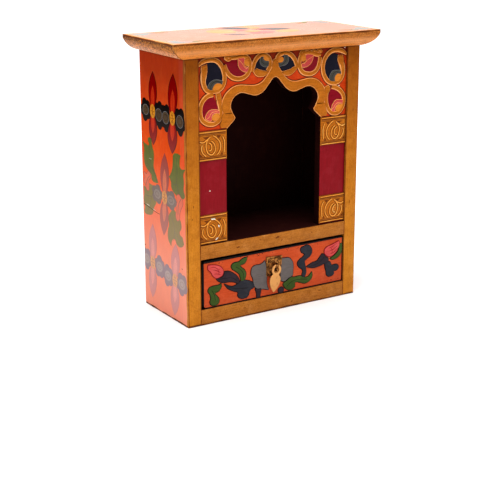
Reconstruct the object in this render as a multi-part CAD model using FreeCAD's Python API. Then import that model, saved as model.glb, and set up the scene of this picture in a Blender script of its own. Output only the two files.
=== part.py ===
import FreeCAD, Part
import math
import os
from FreeCAD import Vector

# A small wooden household altar: a box of boards behind a face frame, with a moulded top,
# a niche under a cusped arch, and a drawer below it with a hanging brass pull.
# Frame: X runs across to the right, Y from the front to the back, Z up.
# Origin: the point on the ground under the middle of the whole altar.

# Body of the altar
body_width = 218.0
body_depth = 98.0
body_height = 284.0
frame_thick = 12.0
side_thick = 10.0
back_thick = 6.0
base_thick = 9.0
niche_floor_thick = 8.0

# Face frame
stile_width = 15.5
bottom_rail_height = 17.5
drawer_opening_height = 55.5
middle_rail_height = 15.5

# Moulded top board
top_thick = 17.0
top_side_overhang = 19.0
top_front_overhang = 11.5
top_nose = 3.8
top_side_soffit = 2.0
top_front_soffit = 1.0
top_bulge = 2.6

# Carving of the pilasters and the arch
pilaster_width = 33.75
block_height = 31.5
arch_head_height = 74.0
arch_rise = 48.5
carving_setback = 0.6
relief_depth = 1.6
foot_width = 8.0
foot_height = 13.0
foot_step = 1.0
scroll_width = 4.0
block_plate_drop = 0.9
block_rule_height = 3.3

# Drawer
drawer_gap_left = 2.4
drawer_gap_right = 0.8
drawer_gap_top = 2.6
drawer_gap_bottom = 0.3
drawer_stop_gap = 0.4
drawer_setback = 1.2
drawer_front_thick = 10.0
drawer_side_thick = 6.0
drawer_side_height = 42.0
drawer_bottom_thick = 4.0
drawer_bottom_lift = 2.0
guide_height = 20.0

# Brass pull
plate_width = 18.5
plate_height = 22.0
plate_taper = 1.2
plate_thick = 1.2
plate_tilt = 3.0
plate_across = -1.0
plate_up = 51.2
pull_across = 0.6
pull_up = 52.4
ring_hole_radius = 3.3
ring_bar = 2.8
drop_thick = 1.4
drop_lean = 8.5
neck_width = 8.0
leaf_width = 14.0
leaf_shoulder = 12.0
leaf_length = 25.6
leaf_flank_share = 0.47
leaf_point_share = 0.37
wire_radius = 0.75
wire_clearance = 0.3
clinch_length = 5.0

# Right half of the arch from foot to tip, as shares of half the niche's width and of the rise
arch_edge = [(1.0, 0.0), (0.915, 0.095), (0.832, 0.206), (0.89, 0.31), (0.924, 0.443),
             (0.867, 0.631), (0.686, 0.732), (0.619, 0.718), (0.552, 0.687), (0.402, 0.645),
             (0.234, 0.734), (0.126, 0.874), (0.04, 0.99), (0.02, 0.998), (0.0, 1.0)]

# Right half of the raised moulding round the arch, in the same shares
moulding_edge = [(1.038, 0.289), (1.086, 0.377), (1.091, 0.464), (1.044, 0.66), (0.921, 0.81),
                 (0.828, 0.866), (0.72, 0.88), (0.619, 0.866), (0.519, 0.847), (0.41, 0.845),
                 (0.301, 0.882), (0.167, 1.021), (0.067, 1.206), (0.033, 1.268), (0.0, 1.309)]

# Scrolls on the arch: centre as shares of the head's half width and height, then half sizes
left_scrolls = [(-0.834, 0.27, 14.5, 14.5), (-0.78, 0.7, 14.0, 16.5),
                (-0.47, 0.81, 14.5, 14.5), (-0.17, 0.865, 12.0, 12.0)]
right_scrolls = [(0.85, 0.23, 14.5, 14.5), (0.802, 0.675, 14.0, 16.5),
                 (0.48, 0.79, 14.5, 14.5), (0.16, 0.865, 12.0, 12.0)]

# Lotus of a block, as shares of its half width and half height: each carved edge of a petal has
# its foot, the middle of its outer line, its tip and the middle of its inner line
petal_edges = [[(0.03, -0.56), (0.345, -0.16), (0.25, 0.6), (0.25, -0.14)],
               [(0.07, -0.7), (0.65, -0.15), (0.69, 0.62), (0.555, -0.13)]]
heart_edge = [(-0.05, 0.4), (0.17, 0.1), (-0.08, -0.2), (0.07, 0.09)]

# Places that follow from the sizes above
left_x = -body_width / 2
right_x = body_width / 2
front_y = -(body_depth - top_front_overhang) / 2
box_y = front_y + frame_thick
back_y = front_y + body_depth
inner_back_y = back_y - back_thick
opening_left = left_x + stile_width
opening_right = right_x - stile_width
head_half = (opening_right - opening_left) / 2
niche_half = head_half - pilaster_width
drawer_floor = bottom_rail_height
drawer_ceiling = drawer_floor + drawer_opening_height
sill = drawer_ceiling + middle_rail_height
springing = body_height - arch_head_height
face_y = front_y + carving_setback
ground_y = face_y + relief_depth
block_plate_y = face_y + block_plate_drop

drawer_left = opening_left + drawer_gap_left
drawer_right = opening_right - drawer_gap_right
drawer_bottom = drawer_floor + drawer_gap_bottom
drawer_y = front_y + drawer_setback
drawer_inner_y = drawer_y + drawer_front_thick
drawer_end_y = inner_back_y - drawer_stop_gap

eye_inner = math.hypot(ring_bar / 2, drop_thick / 2) + wire_clearance
eye_outer = eye_inner + 2 * wire_radius
shank_radius = 2 * wire_radius
plate_y = drawer_y - plate_thick
eye_y = plate_y - eye_outer
eye_centre = Vector(pull_across, eye_y, pull_up)


def board(x0, x1, y0, y1, z0, z1):
    return Part.makeBox(x1 - x0, y1 - y0, z1 - z0, Vector(x0, y0, z0))


def lines(points):
    return [Part.makeLine(a, b) for a, b in zip(points, points[1:])]


def arcs(points):
    # Each arc runs from the last end through one point to the next end
    return [Part.Arc(*triple).toShape() for triple in zip(points[::2], points[1::2], points[2::2])]


def mirrored(pairs):
    # A right half outline and its mirror image, from the left foot over the tip to the right foot
    return [(-x, z) for x, z in pairs] + list(reversed(pairs))[1:]


def upright(pairs, y):
    return [Vector(x, y, z) for x, z in pairs]


def extruded(edges, direction):
    return Part.Face(Part.Wire(Part.__sortEdges__(edges))).extrude(direction)


def cut_upright(pairs, y0, y1, foot=None):
    # A chain of arcs in the front plane, closed below by lines, and extruded back
    points = upright(pairs, y0)
    base = [points[-1], points[0]]
    if foot is not None:
        base = [points[-1], Vector(points[-1].x, y0, foot), Vector(points[0].x, y0, foot), points[0]]
    return extruded(arcs(points) + lines(base), Vector(0, y1 - y0, 0))


def moulding_profile(overhang, soffit):
    # Nose and swelling underside, as pairs of reach out from the body and height over it
    nose = (overhang, top_thick - top_nose)
    foot = (soffit, 0.0)
    run = nose[0] - foot[0]
    fall = nose[1] - foot[1]
    slope = math.hypot(run, fall)
    swell = ((nose[0] + foot[0]) / 2 + top_bulge * fall / slope,
             (nose[1] + foot[1]) / 2 - top_bulge * run / slope)
    return (overhang, top_thick), nose, swell, foot


def top_board():
    crown, nose, swell, foot = moulding_profile(top_side_overhang, top_side_soffit)
    left = [Vector(left_x - out, 0, body_height + up) for out, up in (crown, nose, swell, foot)]
    right = [Vector(right_x + out, 0, body_height + up) for out, up in (crown, nose, swell, foot)]
    outline = lines([left[1], left[0], right[0], right[1]]) + arcs(right[1:]) + arcs(left[1:])
    outline += lines([right[3], left[3]])
    across = extruded(outline, Vector(0, back_y - front_y + top_front_overhang, 0))
    across.translate(Vector(0, front_y - top_front_overhang, 0))
    crown, nose, swell, foot = moulding_profile(top_front_overhang, top_front_soffit)
    front = [Vector(left_x - top_side_overhang, front_y - out, body_height + up)
             for out, up in (crown, nose, swell, foot)]
    back = upright([(front[0].x, body_height + top_thick), (front[0].x, body_height)], back_y)
    outline = lines([front[1], front[0], back[0], back[1], front[3]]) + arcs(front[1:])
    along = extruded(outline, Vector(body_width + 2 * top_side_overhang, 0, 0))
    return across.common(along)


def side(x0):
    return board(x0, x0 + side_thick, box_y, back_y, 0, body_height)


def back_panel():
    return board(left_x + side_thick, right_x - side_thick, inner_back_y, back_y, 0, body_height)


def inner_shelf(top, thick):
    return board(left_x + side_thick, right_x - side_thick, box_y, inner_back_y, top - thick, top)


def stile(x0):
    return board(x0, x0 + stile_width, front_y, box_y, 0, body_height)


def rail(bottom, top):
    return board(opening_left, opening_right, front_y, box_y, bottom, top)


def guide(x0, x1):
    return board(x0, x1, box_y, inner_back_y, drawer_floor, drawer_floor + guide_height)


def petal_edge(places, centre_x, centre_z):
    # A gouged line between two arcs that meet at its foot and its tip
    points = [Vector(centre_x + u * pilaster_width / 2, face_y, centre_z + v * block_height / 2)
              for u, v in places]
    return extruded(arcs(points + points[:1]), Vector(0, block_plate_drop, 0))


def lotus_block(x0, z0):
    # A sunk plate between two rules, with the edges of a lotus left standing on it
    x1 = x0 + pilaster_width
    z1 = z0 + block_height
    centre = ((x0 + x1) / 2, (z0 + z1) / 2)
    carving = [board(x0, x1, face_y, block_plate_y, z0, z0 + block_rule_height),
               board(x0, x1, face_y, block_plate_y, z1 - block_rule_height, z1),
               petal_edge(heart_edge, *centre)]
    for edge in petal_edges:
        carving.append(petal_edge(edge, *centre))
        carving.append(petal_edge([(-u, v) for u, v in edge], *centre))
    return board(x0, x1, block_plate_y, ground_y, z0, z1).fuse(carving)


def pilaster(x0):
    post = board(x0, x0 + pilaster_width, ground_y, box_y, sill, springing)
    blocks = [lotus_block(x0, sill), lotus_block(x0, springing - block_height)]
    return post.fuse(blocks).removeSplitter()


def arch_points(shares):
    return mirrored([(niche_half * u, springing + arch_rise * v) for u, v in shares])


def moulding():
    # The raised moulding that follows the arch from cusp to cusp
    return cut_upright(arch_points(moulding_edge), face_y, ground_y)


def arch_feet():
    # The two leaves that carry the moulding on the pilasters
    leaves = []
    for way in (-1, 1):
        inner = way * niche_half * arch_edge[2][0]
        outer = way * (niche_half + foot_width)
        pairs = [(outer, springing), (outer, springing + foot_height / 2),
                 (way * niche_half, springing + foot_height)]
        points = upright(pairs, face_y)
        top = springing + foot_height
        base = upright([(way * niche_half, top), (inner, top - foot_step), (inner, springing),
                        (outer, springing)], face_y)
        leaves.append(extruded(arcs(points) + lines(base), Vector(0, relief_depth, 0)))
    return leaves


def oval(centre, half_width, half_height):
    # An ellipse in the front plane, taller or wider as its half sizes say
    longer = max(half_width, half_height)
    ring = Part.Ellipse(Vector(0, 0, 0), longer, min(half_width, half_height)).toShape()
    ring.rotate(Vector(0, 0, 0), Vector(1, 0, 0), 90)
    if half_height > half_width:
        ring.rotate(Vector(0, 0, 0), Vector(0, 1, 0), 90)
    ring.translate(centre)
    return ring


def scroll(across, up, half_width, half_height):
    # A raised ring, round or egg-shaped, cut from the board's face
    centre = Vector(across * head_half, face_y, springing + up * arch_head_height)
    depth = Vector(0, relief_depth, 0)
    outer = extruded([oval(centre, half_width, half_height)], depth)
    return outer.cut(extruded([oval(centre, half_width - scroll_width, half_height - scroll_width)], depth))


def arch_head():
    head = board(-head_half, head_half, ground_y, box_y, springing, body_height)
    face = board(-head_half, head_half, face_y, ground_y, springing, body_height)
    raised = [moulding()] + arch_feet() + [scroll(*place) for place in left_scrolls + right_scrolls]
    carving = raised[0].fuse(raised[1:]).common(face)
    opening = cut_upright(arch_points(arch_edge), front_y, box_y, sill)
    return head.fuse(carving).cut(opening).removeSplitter()


def shank_hole(y0, y1):
    return Part.makeCylinder(shank_radius + wire_clearance, y1 - y0,
                             Vector(pull_across, y0, pull_up), Vector(0, 1, 0))


def drawer_front():
    front = board(drawer_left, drawer_right, drawer_y, drawer_inner_y,
                  drawer_bottom, drawer_ceiling - drawer_gap_top)
    return front.cut(shank_hole(drawer_y, drawer_inner_y))


def drawer_side(x0):
    return board(x0, x0 + drawer_side_thick, drawer_inner_y, drawer_end_y,
                 drawer_bottom, drawer_bottom + drawer_side_height)


def drawer_back():
    return board(drawer_left + drawer_side_thick, drawer_right - drawer_side_thick,
                 drawer_end_y - drawer_side_thick, drawer_end_y,
                 drawer_bottom, drawer_bottom + drawer_side_height)


def drawer_bottom_board():
    low = drawer_bottom + drawer_bottom_lift
    return board(drawer_left + drawer_side_thick, drawer_right - drawer_side_thick,
                 drawer_inner_y, drawer_end_y - drawer_side_thick, low, low + drawer_bottom_thick)


def pull_plate():
    low = plate_up - plate_height / 2
    high = plate_up + plate_height / 2
    half = plate_width / 2
    corners = [(-half, low), (-half - plate_taper, high), (half + plate_taper, high), (half, low)]
    points = upright([(plate_across + x, z) for x, z in corners + corners[:1]], plate_y)
    plate = extruded(lines(points), Vector(0, plate_thick, 0))
    plate.rotate(Vector(plate_across, plate_y, plate_up), Vector(0, 1, 0), plate_tilt)
    return plate.cut(shank_hole(plate_y, drawer_y))


def pull_eye():
    # A split pin: its eye stands upright in front of the plate, its legs are clinched inside
    eye = Part.makeTorus(eye_inner + wire_radius, wire_radius, eye_centre, Vector(1, 0, 0))
    start_y = eye_y + eye_inner + wire_radius
    end_y = drawer_inner_y + wire_clearance + wire_radius
    shank = Part.makeCylinder(shank_radius, end_y - start_y, Vector(pull_across, start_y, pull_up),
                              Vector(0, 1, 0))
    legs = Part.makeCylinder(wire_radius, 2 * clinch_length,
                             Vector(pull_across, end_y, pull_up - clinch_length), Vector(0, 0, 1))
    return eye.fuse([shank, legs])


def pull_drop():
    # A flat ring and leaf that hangs in the eye, a little crooked
    ring_drop = ring_hole_radius + ring_bar / 2
    half_neck = neck_width / 2
    neck = -ring_drop - ring_hole_radius - ring_bar
    widest = -ring_drop - leaf_shoulder
    tip = -ring_drop - leaf_length
    half = [(half_neck, -ring_drop), (half_neck, neck)]
    leaf = [(half_neck, neck), (leaf_width * leaf_flank_share, (neck + widest) / 2),
            (leaf_width / 2, widest), (leaf_width * leaf_point_share, (widest + tip) / 2), (0, tip)]
    blade_y = -drop_thick / 2
    neck_line = [(-x, z) for x, z in reversed(half)] + half
    edges = lines(upright(neck_line, blade_y)) + arcs(upright(leaf, blade_y))
    edges += arcs(upright([(-x, z) for x, z in leaf], blade_y))
    blade = extruded(edges, Vector(0, drop_thick, 0))
    centre = Vector(0, blade_y, -ring_drop)
    disc = Part.makeCylinder(ring_hole_radius + ring_bar, drop_thick, centre, Vector(0, 1, 0))
    hole = Part.makeCylinder(ring_hole_radius, drop_thick, centre, Vector(0, 1, 0))
    drop = blade.fuse(disc).cut(hole).removeSplitter()
    drop.rotate(Vector(0, 0, 0), Vector(0, 1, 0), drop_lean)
    drop.translate(eye_centre)
    return drop


def pieces():
    return {
        "left_side": side(left_x),
        "right_side": side(right_x - side_thick),
        "back_panel": back_panel(),
        "base_board": inner_shelf(drawer_floor, base_thick),
        "niche_floor": inner_shelf(sill, niche_floor_thick),
        "top_board": top_board(),
        "left_stile": stile(left_x),
        "right_stile": stile(opening_right),
        "bottom_rail": rail(0, drawer_floor),
        "middle_rail": rail(drawer_ceiling, sill),
        "left_pilaster": pilaster(opening_left),
        "right_pilaster": pilaster(opening_right - pilaster_width),
        "arch_head": arch_head(),
        "left_guide": guide(left_x + side_thick, opening_left),
        "right_guide": guide(opening_right, right_x - side_thick),
        "drawer_front": drawer_front(),
        "drawer_left_side": drawer_side(drawer_left),
        "drawer_right_side": drawer_side(drawer_right - drawer_side_thick),
        "drawer_back": drawer_back(),
        "drawer_bottom": drawer_bottom_board(),
        "pull_plate": pull_plate(),
        "pull_eye": pull_eye(),
        "pull_drop": pull_drop(),
    }


os.makedirs("parts", exist_ok=True)
for name, shape in pieces().items():
    shape.exportStep("parts/" + name + ".step")
    print(name, "valid", shape.isValid(), "solids", len(shape.Solids), "volume", round(shape.Volume, 1))
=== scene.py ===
import bpy, bmesh
import math
import random
from mathutils import Matrix, Vector


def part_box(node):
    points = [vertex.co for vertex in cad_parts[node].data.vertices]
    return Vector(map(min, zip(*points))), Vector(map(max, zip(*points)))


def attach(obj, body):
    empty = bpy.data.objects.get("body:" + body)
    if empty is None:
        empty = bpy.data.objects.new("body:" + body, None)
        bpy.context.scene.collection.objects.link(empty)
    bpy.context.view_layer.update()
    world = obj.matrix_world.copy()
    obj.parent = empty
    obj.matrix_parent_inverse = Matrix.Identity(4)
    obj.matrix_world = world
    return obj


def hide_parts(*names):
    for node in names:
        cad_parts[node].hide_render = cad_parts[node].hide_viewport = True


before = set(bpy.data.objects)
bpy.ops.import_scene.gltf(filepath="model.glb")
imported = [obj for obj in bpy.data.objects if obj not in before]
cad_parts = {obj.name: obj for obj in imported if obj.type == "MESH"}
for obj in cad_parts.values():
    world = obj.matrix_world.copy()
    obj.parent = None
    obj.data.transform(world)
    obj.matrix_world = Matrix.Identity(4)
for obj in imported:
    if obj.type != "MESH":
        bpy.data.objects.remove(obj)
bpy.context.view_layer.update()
mm = 0.001

# The body's corners on the frame: every place below is in mm from its front left foot
leftX, frontY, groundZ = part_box("left_stile")[0]
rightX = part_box("right_stile")[1][0]
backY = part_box("back_panel")[1][1]
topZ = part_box("top_board")[1][2]
print("frame loaded, body", round((rightX - leftX) / mm, 1), "mm wide")


def hexColour(text):
    # sRGB hex to the linear colour that the shaders want
    values = [int(text[i:i + 2], 16) / 255 for i in (1, 3, 5)]
    return [v / 12.92 if v <= 0.04045 else ((v + 0.055) / 1.055) ** 2.4 for v in values] + [1.0]


def addNode(tree, kind, settings=None, links=None):
    # settings are the node's own properties or its sockets, links are sockets to plug in; gives its outputs
    node = tree.nodes.new("ShaderNode" + kind)
    for key, value in (settings or {}).items():
        if isinstance(key, str) and hasattr(node, key):
            setattr(node, key, value)
        else:
            colour = isinstance(value, str) and value.startswith("#")
            node.inputs[key].default_value = hexColour(value) if colour else value
    for key, source in (links or {}).items():
        tree.links.new(source, node.inputs[key])
    return node.outputs


def pathPoint(pair):
    u, v = pair.rstrip("!").split(",")
    return (float(u), float(v)) + ((1,) if pair.endswith("!") else ())


def path(text):
    # Points of a drawing as u,v in mm; one that ends in ! is a sharp corner
    return [pathPoint(pair) for pair in text.split()]


def paths(text):
    return [path(run) for run in text.split(";")]


# Paint on wood: what a brush, a grain and years of hands leave on it, and how much painted shade with grime
# darkens its corners
plainPaint = {"rough": 0.42, "streakMm": 0.6, "bump": 0.1, "fleck": 0.5, "fleckFrom": 0.58, "grime": 0.78}


def jar(colours, **more):
    # Base, deep and pale; the painted shade under the cornice is given as low and high in mm, how much it
    # darkens, and its tint
    return {**plainPaint, **dict(zip(("base", "deep", "pale"), colours.split())), **more}


paintShelf = {
    "goldOchrePaint": jar("#D5841F #AA5D10 #EB9A35", rough=0.5, streakMm=0.9, bump=0.25,
                          smoked=(60, 290, 0.67, "#A87048"), fleck=0.8, fleckFrom=0.52, mottle=0.5),
    "railGoldPaint": jar("#BE7429 #87470F #D68E48", rough=0.5, streakMm=0.9, bump=0.25, fleck=0.95,
                         fleckFrom=0.5, mottle=0.5),
    "goldReliefPaint": jar("#C76F18 #954C0B #E08728", rough=0.45, streakMm=0.8, bump=0.2, fleck=0.8,
                           fleckFrom=0.5),
    # Pale lines: painted highlight on raised edges, and the lines on the crescents
    "paleEdgePaint": jar("#FFAC5E #F08A3C #FFD09A", rough=0.5, streakMm=0.9, fleck=0.7, fleckFrom=0.48,
                         grime=0.25),
    "vermilionPaint": jar("#DA420C #AF2806 #E7571B", rough=0.45, streakMm=0.7, bump=0.15, fleck=0.7,
                          fleckFrom=0.5, smoked=(266, 280, 0.85, "#8C7874")),
    "crimsonPaint": jar("#8A0A1C #680511 #9C1825", rough=0.4, streakMm=0.7),
    "rosePaint": jar("#D64D49 #B23735 #E56D66", rough=0.45),
    "inkBluePaint": jar("#12101F #0B0914 #201C2E", rough=0.4, streakMm=0.7),
    "slatePaint": jar("#4A4942 #35342E #63625A", rough=0.45),
    "beadOrangePaint": jar("#E5882A #BE661A #F7A84C", streakMm=0.8),
    "burgundyPaint": jar("#8C0F1A #760D13 #9C232E", streakMm=0.9, bump=0.12),
    "sidePaint": jar("#F55304 #D33E00 #FF6A11", streakMm=1.0, bump=0.15, smoked=(110, 290, 0.62, "#A87048")),
    "maroonStain": jar("#220806 #130404 #30120B", rough=0.5, streakMm=0.9, bump=0.2),
    "blackPaint": jar("#0D0A0A #060505 #1A1616", rough=0.4, streakMm=0.8),
    "drawerPaint": jar("#CE4E24 #B13D18 #DA653B", streakMm=0.9, bump=0.15, fleck=0.8, fleckFrom=0.54),
    "leafGreenPaint": jar("#3C521F #283C11 #50662E", rough=0.45),
    "charcoalPaint": jar("#2C2C33 #1C1C21 #3E3E45"),
    "ashPaint": jar("#6A625F #544B49 #7F7673", rough=0.45),
    "plumPaint": jar("#30252C #21181C #42373E"),
    "arrisBrown": jar("#6A3210 #2A1006 #9A5A24", rough=0.6, streakMm=0.8, bump=0.2),
    # The dark brown of the painted shade beside raised lines
    "shadowBrown": jar("#5E1E0A #3A0F06 #7C3214", rough=0.5),
    "umberLine": jar("#78390A #542505 #9C5213", rough=0.5),
    "lotusGold": jar("#FFA940 #E78A25 #FFE086", rough=0.4, streakMm=0.8, bump=0.15),
    "petalRedPaint": jar("#8C0203 #610102 #A50906"),
    "heartRedPaint": jar("#D43513 #AF270F #E74C28"),
    "mauvePaint": jar("#BD5D65 #A55355 #D57880"),
    "mauvePinkPaint": jar("#E58076 #CF6B63 #F1958D"),
    "blueGreyPaint": jar("#2E3D62 #212D4A #42547C"),
    "paleGreyPaint": jar("#7A7A7C #646466 #8E8E90"),
    "darkLeafPaint": jar("#2A400D #1C2E08 #3C521F"),
    "lampBlack": jar("#110D0D #080505 #1F1A18", rough=0.4, streakMm=0.7),
    "tobaccoPaint": jar("#503E2C #392C1F #645240", streakMm=0.5),
    "stonePaint": jar("#6A665D #545047 #837F78"),
    "brickPaint": jar("#951F10 #78160A #A83822"),
    "salmonPaint": jar("#DA6433 #C45225 #E77A4D"),
    "yolkPaint": jar("#D88C21 #B06813 #EEAB40"),
    "mossPaint": jar("#54620F #3C490D #6F781F"),
    "olivePaint": jar("#736C25 #5C561C #8C843C"),
    "budPaint": jar("#DE5F3C #C64D2C #F07A56"),
    "topFieldPaint": jar("#E07D60 #CC6A4C #EE9678", rough=0.28, streakMm=1.0, bump=0.12),
    "topBorderPaint": jar("#DE9C4C #C67E32 #F0BC6C", rough=0.28, streakMm=1.0, bump=0.12),
    "topYellowPaint": jar("#DF8E50 #CA763A #ECA268", rough=0.4),
    "topRosePaint": jar("#D9625A #C04E48 #E67A70", rough=0.4),
    "topSlatePaint": jar("#3A3E40 #262A2C #52565A", rough=0.4),
    "skyGreyPaint": jar("#8A8880 #6E6E68 #A4A29A", rough=0.4),
    "corniceOchre": jar("#E28636 #7B3B0B #F0A04E", rough=0.5, streakMm=1.3, bump=0.4, fleck=0.9, fleckFrom=0.5),
    "corniceEnd": jar("#E98C36 #5A2606 #FFAA52", rough=0.5, streakMm=1.6, bump=0.5, fleck=1.0, fleckFrom=0.44),
    "wornGoldEdge": jar("#9C541A #66300D #F3AD5B", rough=0.55, streakMm=2.5, bump=0.3),
    "wornSideEdge": jar("#8A250A #300D08 #F37849", rough=0.55, streakMm=2.5, bump=0.3),
    "bareSoftwood": jar("#C69C68 #9C7349 #DEB987", rough=0.7, streakMm=1.2, bump=0.25),
    "gessoWhite": jar("#FFF7E1 #EAD8BD #FFFFF7", rough=0.8),
}
# A stroke is so many times longer than a bristle's mark; noises are given as size in mm, detail and roughness;
# the corner reach and the dark colour are for the painted shade in corners and hollows
brushMarks = {"strokeRatio": 18, "cloud": (14.0, 4.0, 0.6), "fleck": (1.6, 3.0, 0.7), "stain": (9.0, 6.0, 0.72),
              "cornerShadeMm": 2.6, "bumpMm": 0.3, "grime": "#210D05", "duller": 0.12, "shinier": 0.08}


def brushWork(tree, jarName, grainAxis):
    # Streaks along the grain, cloudy cover, darker where the paint lies thick, and painted shade with grime in
    # corners and hollows
    recipe, marks = paintShelf[jarName], brushMarks
    place = addNode(tree, "TexCoord")["Object"]
    stretch = [1 / (recipe["streakMm"] * mm)] * 3
    stretch[grainAxis] /= marks["strokeRatio"]
    strokes = addNode(tree, "Mapping", {"Scale": stretch}, {"Vector": place})
    streak = addNode(tree, "TexNoise", {"Scale": 1.0, "Detail": 3.0, "Roughness": 0.6}, {"Vector": strokes[0]})
    noise = {}
    for kind in ("cloud", "fleck") + (("stain",) if "mottle" in recipe else ()):
        size, detail, coarse = marks[kind]
        settings = {"Scale": 1 / (size * mm), "Detail": detail, "Roughness": coarse}
        noise[kind] = addNode(tree, "TexNoise", settings, {"Vector": place})[0]
    thick = addNode(tree, "MapRange", {1: 0.3, 2: 0.58, 3: 0.45}, {0: streak[0]})
    thin = addNode(tree, "MapRange", {1: 0.5, 2: 0.8, 4: 0.6}, {0: noise["cloud"]})
    dirt = addNode(tree, "MapRange", {1: recipe["fleckFrom"], 2: 0.74, 4: recipe["fleck"]}, {0: noise["fleck"]})
    body = addNode(tree, "Mix", {"data_type": "RGBA", 6: recipe["deep"], 7: recipe["base"]}, {0: thick[0]})
    coats = [("pale", thin), ("deep", dirt)]
    if "mottle" in recipe:
        # Handling has stained the gold in patches a finger wide
        stain = addNode(tree, "MapRange", {1: 0.5, 2: 0.66, 4: recipe["mottle"]}, {0: noise["stain"]})
        coats.append(("deep", stain))
    colour = body[2]
    for shade, share in coats:
        colour = addNode(tree, "Mix", {"data_type": "RGBA", 7: recipe[shade]}, {0: share[0], 6: colour})[2]
    # Painted shade: ambient occlusion darkens corners and hollows, with grime
    corner = addNode(tree, "AmbientOcclusion", {"samples": 6, "Distance": marks["cornerShadeMm"] * mm})
    grime = addNode(tree, "MapRange", {1: 0.35, 2: 0.85, 3: recipe["grime"], 4: 0.0}, {0: corner["AO"]})
    colour = addNode(tree, "Mix", {"data_type": "RGBA", 7: marks["grime"]}, {0: grime[0], 6: colour})[2]
    # Painted shade, darker upwards towards the cornice
    if "smoked" in recipe:
        colour = smoked(tree, colour, *recipe["smoked"])
    duller, shinier = recipe["rough"] + marks["duller"], recipe["rough"] - marks["shinier"]
    gloss = addNode(tree, "MapRange", {3: duller, 4: shinier}, {0: noise["cloud"]})
    relief = addNode(tree, "Bump", {"Strength": recipe["bump"], "Distance": marks["bumpMm"] * mm},
                     {"Height": streak[0]})
    return colour, gloss[0], relief[0]


def placeAxes(tree):
    # The object's own X, Y and Z, apart
    where = addNode(tree, "TexCoord")
    return addNode(tree, "SeparateXYZ", None, {0: where["Object"]})


def smoked(tree, colour, lowMm, highMm, most, tint):
    # Painted shade under the cornice: the paint darkens upwards, from lowMm to highMm
    amount = addNode(tree, "MapRange", {"interpolation_type": "SMOOTHSTEP", 1: groundZ + lowMm * mm,
                                        2: groundZ + highMm * mm, 3: 0.0, 4: most}, {0: placeAxes(tree)[2]})
    return addNode(tree, "Mix", {"data_type": "RGBA", "blend_type": "MULTIPLY", 7: tint},
                   {0: amount[0], 6: colour})[2]


# Painted reflection of the white floor: how the sides pale towards the foot, and how much of it the ground, the
# strokes and the leaves take
sideFloorGlare = {"ground": 0.54, "strokes": 0.34, "leaves": 0.24, "groundGlareTint": ("#FFBEA6", 190.0),
            "strokeGlareTint": ("#FFD8CC", 238.0), "fullMm": 40.0}
dryGloss, veiledGloss, strokeGloss = 0.06, 0.02, 0.0  # poster paint, long dry, and where sun has dulled it


def paintedFloorGlare(tree, colour, most, glareTint="groundGlareTint"):
    # Painted reflection of the white floor: the paint pales towards the foot
    tint, clearMm = sideFloorGlare[glareTint]
    height = addNode(tree, "MapRange", {"interpolation_type": "SMOOTHSTEP", 1: clearMm * mm,
                                        2: sideFloorGlare["fullMm"] * mm, 3: 0.0, 4: most}, {0: placeAxes(tree)[2]})
    return addNode(tree, "Mix", {"data_type": "RGBA", 7: tint}, {0: height[0], 6: colour})[2]


def blankMaterial(label):
    material = bpy.data.materials.new(label)
    material.use_nodes = True
    shader = material.node_tree.nodes["Principled BSDF"]
    shader.inputs["Specular IOR Level"].default_value = dryGloss
    return material, material.node_tree, shader


def plug(tree, shader, colour, rough, normal):
    for source, socket in ((colour, "Base Color"), (rough, "Roughness"), (normal, "Normal")):
        tree.links.new(source, shader.inputs[socket])


def paint(name, grainAxis=2, glare=0.0):
    # Hand-brushed poster paint under thin varnish; glare pales it towards the foot, a painted reflection of the
    # floor, as on the sides
    label = name + "XYZ"[grainAxis] + ("FloorGlare" if glare else "")
    if label in bpy.data.materials:
        return bpy.data.materials[label]
    material, tree, shader = blankMaterial(label)
    colour, rough, normal = brushWork(tree, name, grainAxis)
    if glare:
        colour = paintedFloorGlare(tree, colour, glare, "strokeGlareTint")
        shader.inputs["Specular IOR Level"].default_value = strokeGloss
    plug(tree, shader, colour, rough, normal)
    return material


def facing(tree, axis, sign, limit=0.5):
    # 1 where the surface looks along that axis, else 0
    where = addNode(tree, "TexCoord")
    parts = addNode(tree, "SeparateXYZ", None, {0: where["Normal"]})
    way = addNode(tree, "Math", {"operation": "MULTIPLY", 1: float(sign)}, {0: parts[axis]})
    return addNode(tree, "Math", {"operation": "GREATER_THAN", 1: limit}, {0: way[0]})[0]


def mixed(tree, mask, under, over):
    # over where mask is 1, for each of colour, roughness and normal
    sockets = (("RGBA", 6, 7, 2), ("FLOAT", 2, 3, 0), ("VECTOR", 4, 5, 1))
    return [addNode(tree, "Mix", {"data_type": kind}, {0: mask, low: a, high: b})[out]
            for (kind, low, high, out), a, b in zip(sockets, under, over)]


def twoFaced(label, outer, inner, axis, sign, grainAxis, glare=0.0, backEnd=False):
    # A board with its outer paint on the face that looks one way, and the inner one elsewhere; backEnd
    # paints its back end too
    material, tree, shader = blankMaterial(label)
    over = brushWork(tree, outer, grainAxis)
    # Painted reflection of the floor: the outer paint pales towards the foot
    if glare:
        over = (paintedFloorGlare(tree, over[0], glare),) + over[1:]
        shader.inputs["Specular IOR Level"].default_value = veiledGloss
    mask = facing(tree, axis, sign)
    if backEnd:
        mask = addNode(tree, "Math", {"operation": "MAXIMUM"}, {0: mask, 1: facing(tree, 1, 1)})[0]
    plug(tree, shader, *mixed(tree, mask, brushWork(tree, inner, grainAxis), over))
    return material


# By share of a line's height: painted shade in its foot, then gold
reliefFootShade = ((0.1, "#592108"), (0.6, "#CA731F"))


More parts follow.
